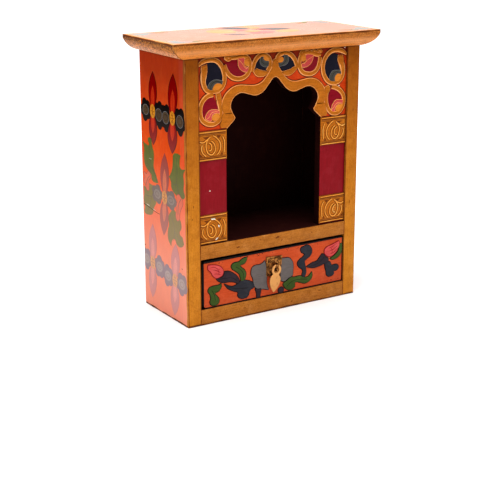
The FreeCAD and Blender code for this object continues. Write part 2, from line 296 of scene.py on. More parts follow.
def reliefPaint(label, jarName, groundLevel, height):
    # Gold over raised gesso: painted shade darkens the foot of a line and fades out up its shoulder
    material, tree, shader = blankMaterial(label)
    colour, rough, normal = brushWork(tree, jarName, 0)
    ground = frontY - groundLevel * mm
    rise = addNode(tree, "MapRange", {1: ground, 2: ground - height * mm}, {0: placeAxes(tree)[1]})
    tone = addNode(tree, "ValToRGB", None, {0: rise[0]})
    for stop, (place, shade) in zip(tone[0].node.color_ramp.elements, reliefFootShade):
        stop.position, stop.color = place, hexColour(shade)
    rub = addNode(tree, "MapRange", {1: 0.3, 2: 0.8, 3: 1.0, 4: 0.0}, {0: rise[0]})
    edgeTone = addNode(tree, "Mix", {"data_type": "RGBA"}, {0: rub[0], 6: colour, 7: tone[0]})
    plug(tree, shader, edgeTone[2], rough, normal)
    return material


# The faces that carry carving or painting: where a drawing's (u, v) lands, and which way is out
planes = {
    "front": Matrix(((1, 0, 0, leftX), (0, 0, -1, frontY), (0, 1, 0, groundZ), (0, 0, 0, 1))),
    "left": Matrix(((0, 0, -1, leftX), (1, 0, 0, frontY), (0, 1, 0, groundZ), (0, 0, 0, 1))),
    "right": Matrix(((0, 0, 1, rightX), (1, 0, 0, frontY), (0, 1, 0, groundZ), (0, 0, 0, 1))),
    "top": Matrix(((1, 0, 0, leftX), (0, 1, 0, frontY), (0, 0, 1, topZ), (0, 0, 0, 1))),
}


def bezierLoop(curve, points, closed=True):
    # A point with a third value is a sharp corner, the others run smoothly
    spline = curve.splines.new("BEZIER")
    spline.bezier_points.add(len(points) - 1)
    spline.use_cyclic_u = closed
    spline.resolution_u = 6
    for knot, point in zip(spline.bezier_points, points):
        knot.co = (point[0] * mm, point[1] * mm, 0)
        knot.handle_left_type = knot.handle_right_type = "VECTOR" if len(point) > 2 else "AUTO"
    return spline


def curveMesh(curve):
    # The curve's own mesh, then the curve goes
    holder = bpy.data.objects.new("drawing", curve)
    bpy.context.scene.collection.objects.link(holder)
    bpy.context.view_layer.update()
    mesh = bpy.data.meshes.new_from_object(holder.evaluated_get(bpy.context.evaluated_depsgraph_get()))
    bpy.data.objects.remove(holder)
    bpy.data.curves.remove(curve)
    return mesh


def carved(loops, level, rise, rim=0.35, sink=0.6):
    # A flat relief with rounded edges, from level (mm out from the plane) up by rise
    curve = bpy.data.curves.new("drawing", "CURVE")
    curve.dimensions = "2D"
    curve.fill_mode = "BOTH"
    half = (rise + sink) / 2
    curve.extrude = (half - rim) * mm
    curve.bevel_depth = rim * mm
    curve.bevel_resolution = 2
    curve.offset = -rim * mm
    for loop in loops:
        bezierLoop(curve, loop)
    mesh = curveMesh(curve)
    mesh.transform(Matrix.Translation((0, 0, (level + rise - half) * mm)))
    return mesh


def ridge(points, radius, level, closed=False, swell=None, flat=0.7):
    # A rounded carved line, half sunk in its ground; swell gives each point its share of the radius
    curve = bpy.data.curves.new("drawing", "CURVE")
    curve.dimensions = "3D"
    curve.bevel_depth = radius * mm
    curve.bevel_resolution = 3
    curve.use_fill_caps = True
    spline = bezierLoop(curve, points, closed)
    for knot, share in zip(spline.bezier_points, swell or []):
        knot.radius = share
    mesh = curveMesh(curve)
    mesh.transform(Matrix.Translation((0, 0, level * mm)) @ Matrix.Diagonal((1, 1, flat, 1)))
    return mesh


def turned(points, u, v, degrees):
    c, s = math.cos(math.radians(degrees)), math.sin(math.radians(degrees))
    return [(u + p[0] * c - p[1] * s, v + p[0] * s + p[1] * c) + tuple(p[2:]) for p in points]


def rectangle(u0, v0, u1, v1):
    return [(u0, v0, 1), (u1, v0, 1), (u1, v1, 1), (u0, v1, 1)]


def oval(u, v, halfWide, halfHigh, count=8):
    # Points round an ellipse
    steps = [2 * math.pi * i / count for i in range(count)]
    return [(u + math.cos(t) * halfWide, v + math.sin(t) * halfHigh) for t in steps]


def addPiece(name, joined, materials, body, sharpAngle, place):
    # Makes a piece of a bmesh, shades it and lets it ride on its body
    data = bpy.data.meshes.new(name)
    joined.to_mesh(data)
    joined.free()
    data.shade_smooth()
    data.set_sharp_from_angle(angle=math.radians(sharpAngle))
    for material in materials:
        data.materials.append(material)
    piece = bpy.data.objects.new(name, data)
    bpy.context.scene.collection.objects.link(piece)
    piece.matrix_world = place
    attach(piece, body)
    return piece


def makePiece(name, meshes, plane, material, body="cabinet"):
    # Joins the drawn meshes and sets them on their plane
    joined = bmesh.new()
    for mesh in meshes:
        joined.from_mesh(mesh)
        bpy.data.meshes.remove(mesh)
    bmesh.ops.remove_doubles(joined, verts=joined.verts, dist=0.002 * mm)
    bmesh.ops.transform(joined, matrix=planes[plane], verts=joined.verts)
    bmesh.ops.recalc_face_normals(joined, faces=joined.faces)
    return addPiece(name, joined, [material], body, 50, Matrix())


def stainBehind(piece, grainAxis, limit):
    # All but the painted face is stained dark
    piece.data.materials.append(paint("maroonStain", grainAxis))
    for face in piece.data.polygons:
        face.material_index = 0 if face.normal.y < -limit else 1


# Arch head: its board, the raised moulding and the scrolls; levels are mm out from the stiles' face
archHead = {
    "face": -0.6, "ground": -2.2, "middle": 109.0, "foot": 210.0, "top": 284.0, "left": 15.5, "right": 202.5,
    "lipFoot": 224.0, "lipStart": 52.1, "goldHigh": 1.7,
    "edge": path("59.75,210! 54.8,214.4 50.2,219 49.7,220.2! 53,225.5 55.2,232.5 52.3,240 46.5,244.4 41,245.4 "
                 "33,243.3 24,241.3 16,244 8,252 3.5,257 0,258.5"),
    "moulding": path("62,224! 64.9,229 65.2,234 62.4,242 56.5,248.4 50,251.8 43,252.7 35,251.8 25,251 "
                     "17,253.3 10,259.6 4.5,267.5 0,273.5!"),
    "leaf": path("59.7,210.4! 66.4,210.6! 67.4,214 65.8,218.6 65.6,222.2 63.4,226! 53.4,226.2! 51.2,222.4 "
                 "49.9,220.2! 54.8,214.6"),
}


def bothSides(half):
    # A right half drawn foot to tip, with its mirror image, as one run from the right foot to the left
    middle = archHead["middle"]
    right = [(middle + p[0],) + tuple(p[1:]) for p in half]
    left = [(middle - p[0],) + tuple(p[1:]) for p in reversed(half[:-1])]
    return right + left


def makeArchHead():
    a = archHead
    mouth = bothSides(a["edge"])
    board = [(a["right"], a["top"], 1), (a["left"], a["top"], 1), (a["left"], a["foot"], 1)]
    board += mouth[::-1] + [(a["right"], a["foot"], 1)]
    depth = (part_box("arch_head")[1][1] - frontY) / mm + a["ground"]
    slab = carved([board], a["ground"] - depth, depth, rim=0.05, sink=0.0)
    piece = makePiece("archBoard", [slab], "front", paint("vermilionPaint", 0))
    stainBehind(piece, 0, 0.7)
    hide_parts("arch_head")
    rise = a["face"] - a["ground"]
    lip = [(a["lipStart"], a["lipFoot"], 1)] + [p for p in a["edge"] if p[1] >= a["lipFoot"]]
    band = carved([bothSides(a["moulding"]) + bothSides(lip)[::-1]], a["ground"], rise, rim=0.7)
    leaves = [carved([[(a["middle"] + way * p[0],) + tuple(p[1:]) for p in a["leaf"]]], a["ground"], rise, 0.6)
              for way in (-1, 1)]
    gold = reliefPaint("mouldingGold", "goldReliefPaint", a["ground"], a["goldHigh"])
    makePiece("archMoulding", [band] + leaves, "front", gold)


makeArchHead()
print("arch head carved")

# Scrolls: each one's runs are its band, the fill inside it, a crescent and a bead
scrolls = {
    "leftLow": {
        "paint": "crimsonPaint", "swell": [0.6, 1.25, 1.05],
        "runs": paths("40,244.5 41,238 42.3,231 42.6,225 40.8,219.5 36.5,216.5 30.5,215.8 24.5,217.8 "
                      "19.8,222.5 18.4,229 19.2,236 22.5,241.5 28,245.2 33.5,246; 34,245.5! 26,243.5 21,238 "
                      "20,229 22.5,222 28,218 36,218 41,222 42,228 39,235 36,240; 24,222.5 26.5,228 30,230.5 "
                      "35,230.6 39.5,229.5 41.5,227 38,226.6 34,226.2 32,223.8 31.4,219.5 27,220; 32,220.5 "
                      "32.6,224 35.2,226 39.2,225.8 41.2,223.5 40,220.5 36,218.8")},
    "leftTall": {
        "paint": "inkBluePaint", "swell": [0.6] + [1.0] * 11 + [1.1, 1.4, 1.35, 0.4],
        "runs": paths("16.5,276.3 22,280 30,281.3 37.5,280 43,275.2 46.4,268 47.3,261 45.5,254.5 41,250.4 "
                      "35,249.2 29,249.6 24.7,253 22.6,258.5 22.6,265 24,271 26.3,275.8; 27,278.5! 33,279 "
                      "39,277 43.5,271 46,264 46.5,257 43,252 36,249.5 29,250.5 25,255 24.5,261 26.5,267 "
                      "27,273; 27,252 28.6,257 32,260 36.5,261 41,260.2 45.8,258 44.5,255 40.5,257 36.6,256.8 "
                      "34,254 32.8,250; 33.2,250.8 34,254.2 36.6,256.6 40.2,257 44,255.2 44.5,252.5 41,250.6 "
                      "36.5,249.8")},
    "leftTop": {
        "paint": "crimsonPaint", "swell": [0.5, 0.8, 0.8, 0.8, 0.85],
        "runs": paths("50.8,280.4 49,281.9 51.5,283.2 55,281.8 60,281.6 66,282.2 72,281.8 76,278.8 77.8,273.5 "
                      "77,267 73,262 67,259.8 60,260.4 54,263.6 49.8,268.6 47,275; 46.6,277! 52,277.6 57,280 "
                      "64,282 72,281.5 77,276 77,268 72,262 64,260.8 56,263 50.5,268.5; 64.5,281.8 69,281.8 "
                      "71.3,279.4 70.6,276 71.2,273 73.5,271 77,270.5 76.8,266.2 72,266 67.5,268 64.2,272 "
                      "63.4,276.5; 71,277.2 72.3,279.4 74.6,278.8 76.6,276 77.2,272.6 74.6,271.8 71.6,273.6")},
    "leftPeak": {
        "paint": "inkBluePaint", "swell": [0.7],
        "runs": paths("80.6,265.5 81.8,271 84.8,277.3 89.3,281.2 94,282 99,280.2 102.4,275.8 102.6,270 "
                      "99.4,265; 83,266.5! 84,272 87.5,279 93,281.8 99,280 102.4,275 102,269 98,265.3 "
                      "92,265.3 87,267.6; 93.4,281.8 94.6,280.4 94,278 95.6,275.6 99,275 102.4,275 "
                      "102.6,271.5 100,269.8 96,269.4 92.4,271 90,274.5 90.4,278 91.6,280.8; 94.3,279 "
                      "95.4,281 98.2,280.6 101,278.4 102,276 98.4,275.5 95.6,276.6")},
    "rightLow": {
        "paint": "crimsonPaint", "swell": [0.9, 1.2, 1.05],
        "runs": paths("176.6,240.5 175.2,235 175.1,228 176.7,221 180.6,215 186.5,212.2 192.5,213 197,217.5 "
                      "199.2,223.5 198.6,230 194.8,235.6 189,239.6 182.5,241.6; 181,241.4! 188,239.5 "
                      "195,234.5 199,228 198.5,221 194.5,215 187.5,213 181,216 177.6,222 177.6,230 180,236; "
                      "182.6,218.5 184.8,223.5 188,226.6 193,226.6 200,224.4 199.5,222 192,222 189,220 "
                      "187.4,217 186,213.6 183,215; 187.8,217 190,220.6 194,221.6 199,219.6 198.3,216.5 "
                      "194.8,214.2 190,213.8")},
    "rightTall": {
        "paint": "inkBluePaint", "swell": [0.6] + [1.0] * 11 + [1.1, 1.35, 1.35, 0.4],
        "runs": paths("201.5,275.6 195,279.3 187,280.8 179.5,279 173.6,273.6 170.7,266.5 170.7,259.5 "
                      "173.4,252.6 178,247.6 184,245.5 190,246 195,249.6 196.8,255.5 196.2,262 194,268 "
                      "191,273.4; 190.4,276! 184,277 177.5,274.5 172.5,268 171.5,260.5 174,253 179.5,247.5 "
                      "187,246 193.5,249.5 195.5,256 192,262 189.6,267.5; 180.6,246 179,250.5 180,255 "
                      "183,258.4 187.4,259 194.5,257 194,254.6 190,255.4 187,253.4 186,250 185.6,246; 186,250 "
                      "187.2,253.2 190.2,255 194,254.2 194.4,250.4 192,247.4 188,246.6")},
    "rightTop": {
        "paint": "crimsonPaint", "swell": [0.8],
        "runs": paths("167.2,277.4 162.5,277.6 157.5,279.2 152,280.2 146.6,280.2 142,277.6 139.9,272.5 "
                      "140.1,266 143.6,260.6 150,258 157,258.2 162.4,261.6 165.3,268 166.6,274.5; 167,276.2! "
                      "160,277.5 152,279.5 145,278.5 141,273 141.5,266 146,260.5 153,259 160,261 164,267; "
                      "157.2,278.2 153,279.4 148.6,278.8 147,276 148,273 147,270.5 142.5,268.8 143,265.8 "
                      "148,265.5 152,267 155.2,270 157,274; 141.2,275 142.2,278 145,279 147.2,276.6 "
                      "147.6,273.4 145,271.4 141.8,272.4")},
    "rightPeak": {
        "paint": "inkBluePaint", "swell": [0.8],
        "runs": paths("110.5,275.5 112.6,279.2 116.6,281.6 122,281.9 128,280 132.4,276 135.4,270.8 "
                      "137.2,265.4; 137,266! 134,273 130,278 123,281.5 116,281 112,277 112.5,271 116,265.5 "
                      "122,262.4 129,263.8; 118,281.8 122.6,281.6 125.4,277 125.4,273 123,270.2 118,269 "
                      "113,269.2 113,271 117,272 119.6,274.6 120.2,278 119,280.4; 112,275 114,277.6 "
                      "117.4,278.4 119.4,276.2 118,273.2 114.6,272.6 112,273.2")},
}
# The pale rim beside each band, spray and crest is painted highlight on its raised edge, and the wider dark
# line outside it is painted shade
scrollCut = {"radius": 1.98, "flat": 0.78, "highlightRim": 0.85, "highlightRimFlat": 0.42, "shadeLine": 1.6, "shadeLineFlat": 0.14,
             "fill": (0.45, 0.2), "crescent": (0.85, 0.3), "bead": (1.25, 0.55), "line": 0.3, "lineSink": 0.12,
             "goldHigh": 1.5}
# By the paint of a scroll's field: its crescent, the crescent's edging and middle line, and the edging's share
crescentPaints = {"crimsonPaint": ("rosePaint", "paleEdgePaint", "paleEdgePaint", 1.0),
                  "inkBluePaint": ("slatePaint", "paleGreyPaint", "inkBluePaint", 0.7)}
# Gold leaves and buds that stand beside the scrolls, and the wavy gold ridges above them
sprays = paths("82.4,265.8! 86,268 90,266.6 95,265.2 101,264.2! 97,260.8 91,260 86,261.4; 137.4,266! "
               "133,266.6 128,264.4 122,263.2 116.6,262.6! 121,259.4 127,258.6 133,261.6; 21.4,262! 20.4,269 "
               "20.6,275.6! 26.6,276.6! 26.4,270 24.6,265; 197.6,262! 197.4,269 196,274.6! 190.2,274.2! "
               "190.6,269 193.4,264; 37.2,246! 41.6,247.4! 43,241 42.6,235 39.4,238; 173.4,241.6! "
               "177.8,243.4! 180,240.4 178,235.6 174.2,235; 104.4,270! 109,276.6 113.4,270! 109,264")
crests = paths("140.4,278.4 142.6,281.6 146,281.4 149.4,279.9 152.2,282 155.4,280.2 158.4,282 161.8,280 "
               "165.2,282.2 168.6,279.6; 49.4,281.6 52.2,279.6 56,281.6")
sprayCut = {"rise": 1.35, "rim": 0.5, "highlightRim": 0.72, "lift": 0.1, "shadeLine": 1.3}
crestCut = {"radius": 1.35, "flat": 0.9, "highlightRim": 1.75, "shadeLine": 2.2}
mouldingCut = {"edge": 0.85, "lift": 0.4, "lip": 0.4, "lipSink": 0.45, "shadeLine": 1.7, "shadeLineFlat": 0.12}


def makeScrolls():
    ground = archHead["ground"]
    cut = scrollCut
    bands, edgeHighlights, shadeLines, fills, lines = [], [], [], {}, {}
    for scroll in scrolls.values():
        band, fill, crescent, bead = scroll["runs"]
        swell = scroll["swell"] + [1.0] * (len(band) - len(scroll["swell"]))
        for group, wider, flat in ((bands, 0.0, "flat"), (edgeHighlights, cut["highlightRim"], "highlightRimFlat"),
                                   (shadeLines, cut["shadeLine"], "shadeLineFlat")):
            group.append(ridge(band, cut["radius"] + wider, ground, swell=swell, flat=cut[flat]))
        crescentPaint, edging, middlePaint, share = crescentPaints[scroll["paint"]]
        for name, outline, cutName in ((scroll["paint"], fill, "fill"), (crescentPaint, crescent, "crescent"),
                                       ("beadOrangePaint", bead, "bead")):
            fills.setdefault(name, []).append(carved([outline], ground, *cut[cutName]))
        level = ground + cut["crescent"][0] - cut["lineSink"]
        lines.setdefault(edging, []).append(ridge(crescent, cut["line"] * share, level, closed=True))
        half = len(crescent) // 2
        pairs = zip(crescent[:half], reversed(crescent[-half:]))
        middle = [((p[0] + q[0]) / 2, (p[1] + q[1]) / 2) for p, q in pairs]
        lines.setdefault(middlePaint, []).append(ridge(middle, cut["line"], level))
    for outline in sprays:
        bands.append(carved([outline], ground, sprayCut["rise"], sprayCut["rim"]))
        edgeHighlights.append(ridge(outline, sprayCut["highlightRim"], ground + sprayCut["lift"], closed=True))
        shadeLines.append(ridge(outline, sprayCut["shadeLine"], ground, closed=True, flat=cut["shadeLineFlat"]))
    for crest in crests:
        bands.append(ridge(crest, crestCut["radius"], ground, flat=crestCut["flat"]))
        edgeHighlights.append(ridge(crest, crestCut["highlightRim"], ground, flat=cut["highlightRimFlat"]))
        shadeLines.append(ridge(crest, crestCut["shadeLine"], ground, flat=cut["shadeLineFlat"]))
    bandGold = reliefPaint("bandGold", "goldReliefPaint", ground, cut["goldHigh"])
    makePiece("scrollBands", bands, "front", bandGold)
    makePiece("scrollEdgeHighlights", edgeHighlights, "front", paint("paleEdgePaint", 0))
    for name, meshes in lines.items():
        makePiece(name.replace("Paint", "") + "CrescentLines", meshes, "front", paint(name, 0))
    for name, meshes in fills.items():
        makePiece(name.replace("Paint", "") + "Fills", meshes, "front", paint(name, 0))
    # Pale lines of painted highlight along the moulding's edge and the mouth's lip
    edge, m = bothSides(archHead["moulding"]), mouldingCut
    edges = [ridge(edge, m["edge"], ground + m["lift"]),
             ridge(bothSides(archHead["edge"]), m["lip"], archHead["face"] - m["lipSink"])]
    makePiece("mouldingEdgeHighlights", edges, "front", paint("paleEdgePaint", 0))
    # A dark line of painted shade outside the moulding, beside the bands' own
    shadeLines.append(ridge(edge, m["shadeLine"], ground, flat=m["shadeLineFlat"]))
    makePiece("paintedShadeLines", shadeLines, "front", paint("shadowBrown", 0))


makeScrolls()
print("scrolls carved")

# Lotus blocks on the pilasters, drawn about the block's centre: petals, notches, and rules as (v, radius); the
# notches and the dark lines beside each petal and rule are painted shade
lotusBlock = {
    "plate": -1.5, "plateRim": 0.25, "halfWide": 16.87, "halfHigh": 15.6, "line": 0.8, "shadeRadius": 1.45,
    "petals": paths("-5,7.6 -7.6,3.4 -7.6,-2.6 -5.2,-7.8 -1.2,-9.4 2.2,-6.8 3,-2.4 1.2,2.4 -1.8,5; -4.6,3.4 "
                    "-2.2,1.6 -1.2,-1.6 -2.4,-4.8 -4.4,-5; 0.6,10.4 5,7.4 8.6,2.6 9.4,-2.4 8,-6.8 5.4,-9.8; "
                    "-15.4,5.2 -11.6,4.2 -7.6,6 -3,9.2; -12.6,1.6 -13.4,-2.6 -12,-6.6 -8.4,-10.2; 11.8,8.6 "
                    "13.8,4 14,-1.6 13.4,-8.4"),
    "notches": paths("-11.6,9.6 -3.6,9.8 -7.4,6.8; 4.6,10.2 10.4,10.2 7.8,7; -15.4,-7 -15.4,-10.8 "
                     "-11.4,-10.8; 9,-10.8 12.6,-10.8 11.2,-7.2"),
    "rules": [(14.3, 0.75), (12.0, 0.45), (-12.1, 0.45), (-14.3, 0.75)], "ruleInset": 0.9,
    "centres": [(32.4, 105.0), (32.4, 193.6), (185.7, 105.6), (185.7, 193.6)],
    "lineFlat": 0.9, "shadeFlat": 0.12, "notchCut": (0.1, 0.04, 0.1), "ruleFlat": 0.8, "ruleShade": 0.5,
    "ruleShadeFlat": 0.1, "goldHigh": 0.9,
}


def makePilaster(node, name):
    # The post with its burgundy face; the blocks are carved on it
    low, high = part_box(node)
    u0, u1 = [(x - leftX) / mm for x in (low.x, high.x)]
    v0, v1 = [(z - groundZ) / mm for z in (low.z, high.z)]
    ground = archHead["ground"]
    depth = (high.y - frontY) / mm + ground
    slab = carved([rectangle(u0, v0, u1, v1)], ground - depth, depth, rim=0.3, sink=0.0)
    piece = makePiece(name, [slab], "front", paint("burgundyPaint", 2))
    stainBehind(piece, 2, 0.5)
    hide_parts(node)


def makeLotusBlocks():
    b = lotusBlock
    plates, lines, shadeMarks = [], [], []
    w, h, inset = b["halfWide"], b["halfHigh"], b["ruleInset"]
    foot = archHead["ground"] - 1
    for u, v in b["centres"]:
        plates.append(carved([rectangle(u - w, v - h, u + w, v + h)], foot, b["plate"] - foot, b["plateRim"]))
        way = 1 if u < archHead["middle"] else -1  # the right blocks are cut mirrored
        for petal in b["petals"]:
            run = [(u + way * p[0], v + p[1]) for p in petal]
            lines.append(ridge(run, b["line"], b["plate"], flat=b["lineFlat"]))
            # A dark line of painted shade beside each petal line
            shadeMarks.append(ridge(run, b["shadeRadius"], b["plate"], flat=b["shadeFlat"]))
        for notch in b["notches"]:
            corners = [(u + way * p[0], v + p[1], 1) for p in notch]
            shadeMarks.append(carved([corners], b["plate"], *b["notchCut"]))
        for up, radius in b["rules"]:
            run = [(u - w + inset, v + up), (u, v + up), (u + w - inset, v + up)]
            lines.append(ridge(run, radius, b["plate"], flat=b["ruleFlat"]))
            shadeMarks.append(ridge(run, radius + b["ruleShade"], b["plate"], flat=b["ruleShadeFlat"]))
    makePiece("lotusPlates", plates, "front", paint("goldReliefPaint", 0))
    makePiece("lotusLines", lines, "front", reliefPaint("lineGold", "lotusGold", b["plate"], b["goldHigh"]))
    makePiece("lotusPaintedShade", shadeMarks, "front", paint("umberLine", 0))


makePilaster("left_pilaster", "leftPost")
makePilaster("right_pilaster", "rightPost")
makeLotusBlocks()
print("lotus blocks carved")

# Drawer front: leaves and buds cut in low relief, and the dark and crimson veins drawn on them
drawerLeaves = {
    "rosePaint": paths("25,66! 33,65 40,62 43.5,57.5 43,53 40,50.8 35,50 31,53 28,58 24.4,62; 176,57 179,61 "
                       "184,62.4 190,64 196,66! 197,62 194,56 190,51.4 184,49.6 179,51.4"),
    "plumPaint": paths("35,49! 44,51 45,55.4! 50,55 57,51 62,46 64,42! 62,39.5 58,41.4 52,43 44,43.4 38,46; "
                       "84,29! 92,29! 91,23 90,18! 86,18! 86,23; 152,42.6! 160,46 166,47 170,51 173,54.2! "
                       "176,53 178,50 182,47 181,44 175,42 169,40.6 161,40 "
                       "156,41.4") + [oval(118, 21.4, 3.6, 3.2)],
    "leafGreenPaint": paths("41,43! 38,41.6 30,41.4 26,40 24.8,37 27,33 28,28 27,24 29,20.6 33,19.8 37,21 "
                            "38.2,25 36,29 33.4,33 38,35 41,39; 74,67! 68,66 63,63.4 57,63 54,60.6 55,57 "
                            "60,53 64,49 65.2,45 66,41! 70,42 72.2,47 71,52 67,56 65,58.6 71,61; 135,33.4 "
                            "145,33 148,31 155,31 157,33 159.4,35.4! 160,31 158,27 151,23.8 143,26 137,27 "
                            "136,22 131,20 127,20.4 122,25 121,28 126,31 131,34; 197,62! 200.4,62.4! 200.7,55 "
                            "198,49 193,46 187,45.4 184.6,47! 191,50 196,55"),
    "charcoalPaint": paths("45,41.4! 50,35.4 57,31.4 62,29 62,25 65,22 70,21 75,23 77,28 79,30 82,31 82.4,35 "
                           "79,38 73,40.6 66,41.4 62,39 57,37 51,38; 148,67 153,67.6 157,65 159.2,60 157,55 "
                           "152,52 149.4,50 150,45 151.2,40 151,34 148,30.8! 146,34 147,38 146,41 142,44 "
                           "139.8,49 142,52 147,55 149,57.6 145,61 144,65; 178,43 184,43 187,38.4 190,38.6 "
                           "195,37.6 196.4,34 193,31.4 190,31.2 190,28 187,26.2 181,27 179,33 177.6,38"),
    "ashPaint": paths("79,50 80.4,54 84,55.6 90,55.6 94,57 96.4,59! 98.4,52 100.4,45 99.4,40 99,33 101.4,25! "
                      "95,27 89,28 84,31 82,36 81,42 79,46; 118,58! 123,57.6 128,57 131.4,54 133.6,50 "
                      "133.6,40 133,36 128,34 122,31 117,33! 117,45"),
}
drawerVeins = paths("48,38.5 56,34.8 64,33 74,32; 37,48 46,47.8 55,46.6 61,42.4; 155,42.6 163,43 171,46 "
                    "176,50; 125,24.5 134,29.4 144,29.6 153,28; 59,58.5 65,54.5 69,48.5 68.8,43.5; 29,37.5 "
                    "32.4,31 33.4,25.5")
budVeins = paths("27.5,63.4 33.4,62 39,58.4; 28.6,60.4 34.4,58.8 41,54.8; 31,55.2 36,54.6 40.6,52.8; 36,60.6 "
                 "38,56.2 38.2,52.6; 180.2,59 186.6,60.6 193.4,63.6; 181,55.6 187.6,57 194.8,61; 182.8,52.4 "
                 "189,53.6 193.8,57.4; 184.6,60.2 186.8,56 186.2,51.6")
# border: widths of the black line round the drawer's face, at its left, top, right and bottom; it is black
# edging, and where it is widest, at the left and top, also painted shade of the gap
drawerRelief = {"rise": 0.75, "rim": 0.3, "outline": 0.85, "outlineFlat": 0.4, "border": (2.0, 2.2, 0.9, 1.0),
                "inset": 0.08, "vein": 0.3, "budVein": 0.32, "budEdge": 0.5, "budSink": 0.25, "veinSink": 0.08,
                "veinFlat": 0.5, "veinSwell": [0.5, 1.2, 0.6], "ink": 0.06, "inkSink": 0.04,
                "corner": (4.0, 4.5, 1.2)}
specks = {"count": 34, "west": 3, "east": 2, "low": 4, "high": 5, "clear": 1, "halfLong": (0.3, 1.1),
          "halfHigh": (0.2, 0.5), "thick": 0.05}
coatRim = 0.015  # how far a coat of paint rounds off at its edge


def flake(dice, u, v, halfLong, halfHigh, turn):
    # A ragged small oval
    ring = oval(0, 0, halfLong, halfHigh, count=9)
    rough = [(x * dice.uniform(0.7, 1.15), y * dice.uniform(0.6, 1.2), 1) for x, y in ring]
    return turned(rough, u, v, turn)


def makeDrawerLeaves():
    r = drawerRelief
    low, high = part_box("drawer_front")
    level = (frontY - low.y) / mm
    top = level + r["rise"]
    outlines = []
    for name, loops in drawerLeaves.items():
        meshes = [carved([loop], level, r["rise"], r["rim"]) for loop in loops]
        label = name.replace("Paint", "") + "DrawerLeaves"
        makePiece(label, meshes, "front", paint(name, 0), "drawer")
        if name != "rosePaint":
            outlines += [ridge(loop, r["outline"], level, closed=True, flat=r["outlineFlat"]) for loop in loops]
    flat, veinLevel, buds = r["veinFlat"], top - r["veinSink"], drawerLeaves["rosePaint"]
    buds = [ridge(loop, r["budEdge"], top - r["budSink"], closed=True, flat=flat) for loop in buds]
    buds += [ridge(vein, r["budVein"], veinLevel, swell=r["veinSwell"], flat=flat) for vein in budVeins]
    makePiece("budVeins", buds, "front", paint("crimsonPaint", 0), "drawer")
    u0, v0 = (low.x - leftX) / mm + r["inset"], (low.z - groundZ) / mm + r["inset"]
    u1, v1 = (high.x - leftX) / mm - r["inset"], (high.z - groundZ) / mm - r["inset"]
    west, north, east, south = r["border"]
    wide, high, bend = r["corner"]
    # Black edging, widened at the left and top and in the lower left corner as painted shade of the gap
    bands = [rectangle(u0, v0, u0 + west, v1),
             [(u0, v1 - north, 1), (u1, v1 - north + 1, 1), (u1, v1, 1), (u0, v1, 1)],
             rectangle(u1 - east, v0, u1, v1), rectangle(u0, v0, u1, v0 + south),
             [(u0, v0, 1), (u0 + west + wide, v0, 1), (u0 + west + bend, v0 + bend), (u0, v0 + high, 1)]]
    outlines += [carved([band], level, r["ink"], coatRim, r["inkSink"]) for band in bands]
    outlines += [ridge(vein, r["vein"], veinLevel, flat=flat) for vein in drawerVeins]
    dice = random.Random(5)
    for speck in range(specks["count"]):  # dirt and chips of paint, near the lower and the upper border
        u = dice.uniform(u0 + specks["west"], u1 - specks["east"])
        v = dice.choice([dice.uniform(v0, v0 + specks["low"]),
                         dice.uniform(v1 - specks["high"], v1 - specks["clear"])])
        size = dice.uniform(*specks["halfLong"]), dice.uniform(*specks["halfHigh"])
        spot = flake(dice, u, v, *size, dice.uniform(0, 90))
        outlines.append(carved([spot], level, specks["thick"], coatRim, r["inkSink"]))
    makePiece("drawerOutlines", outlines, "front", paint("blackPaint", 0), "drawer")


makeDrawerLeaves()
print("drawer leaves carved")

# Painted flowers on the sides: u runs back from the front edge, v up, all in mm
redFlower = {"petal": "petalRedPaint", "edge": "lampBlack", "heart": "heartRedPaint", "lobe": "lampBlack",
             "eye": "tobaccoPaint"}
brickFlower = {"petal": "brickPaint", "edge": "brickPaint", "heart": "salmonPaint", "lobe": "slatePaint",
               "eye": "stonePaint"}
mauveFlower = {"petal": "mauvePaint", "edge": "mauvePaint", "heart": "mauvePinkPaint", "lobe": "blueGreyPaint",
               "eye": "paleGreyPaint"}
sideFlowers = [
    {**redFlower, "u": 70, "v": 222, "up": (68, 264), "down": (70.5, 186), "wide": 17.5,
     "lobes": [(86, 221.5, 11.6, 12.5), (56.6, 220, 12.2, 15)]},
    {**redFlower, "u": 27, "v": 221, "up": (24.2, 267), "down": (28.6, 184), "wide": 19.5,
     "lobes": [(41.6, 219.5, 12, 14.6), (11.5, 220, 12, 14.6)]},
    {**brickFlower, "u": 47.5, "v": 133, "up": (45.5, 181), "down": (51, 91), "wide": 18,
     "lobes": [(64, 133.5, 12, 10.5), (34, 133, 12.4, 10.5)]},
    {**mauveFlower, "u": 78, "v": 53, "up": (76.5, 97), "down": (80.5, 12), "wide": 17,
     "lobes": [(92, 54, 10.5, 12.4), (62.5, 52.0, 11.5, 12.6)]},
    {**mauveFlower, "u": 28, "v": 46, "up": (25, 87), "down": (30, 6), "wide": 18,
     "lobes": [(43.4, 47, 11.5, 12.4), (13, 45.6, 11.6, 12.6)]},
]
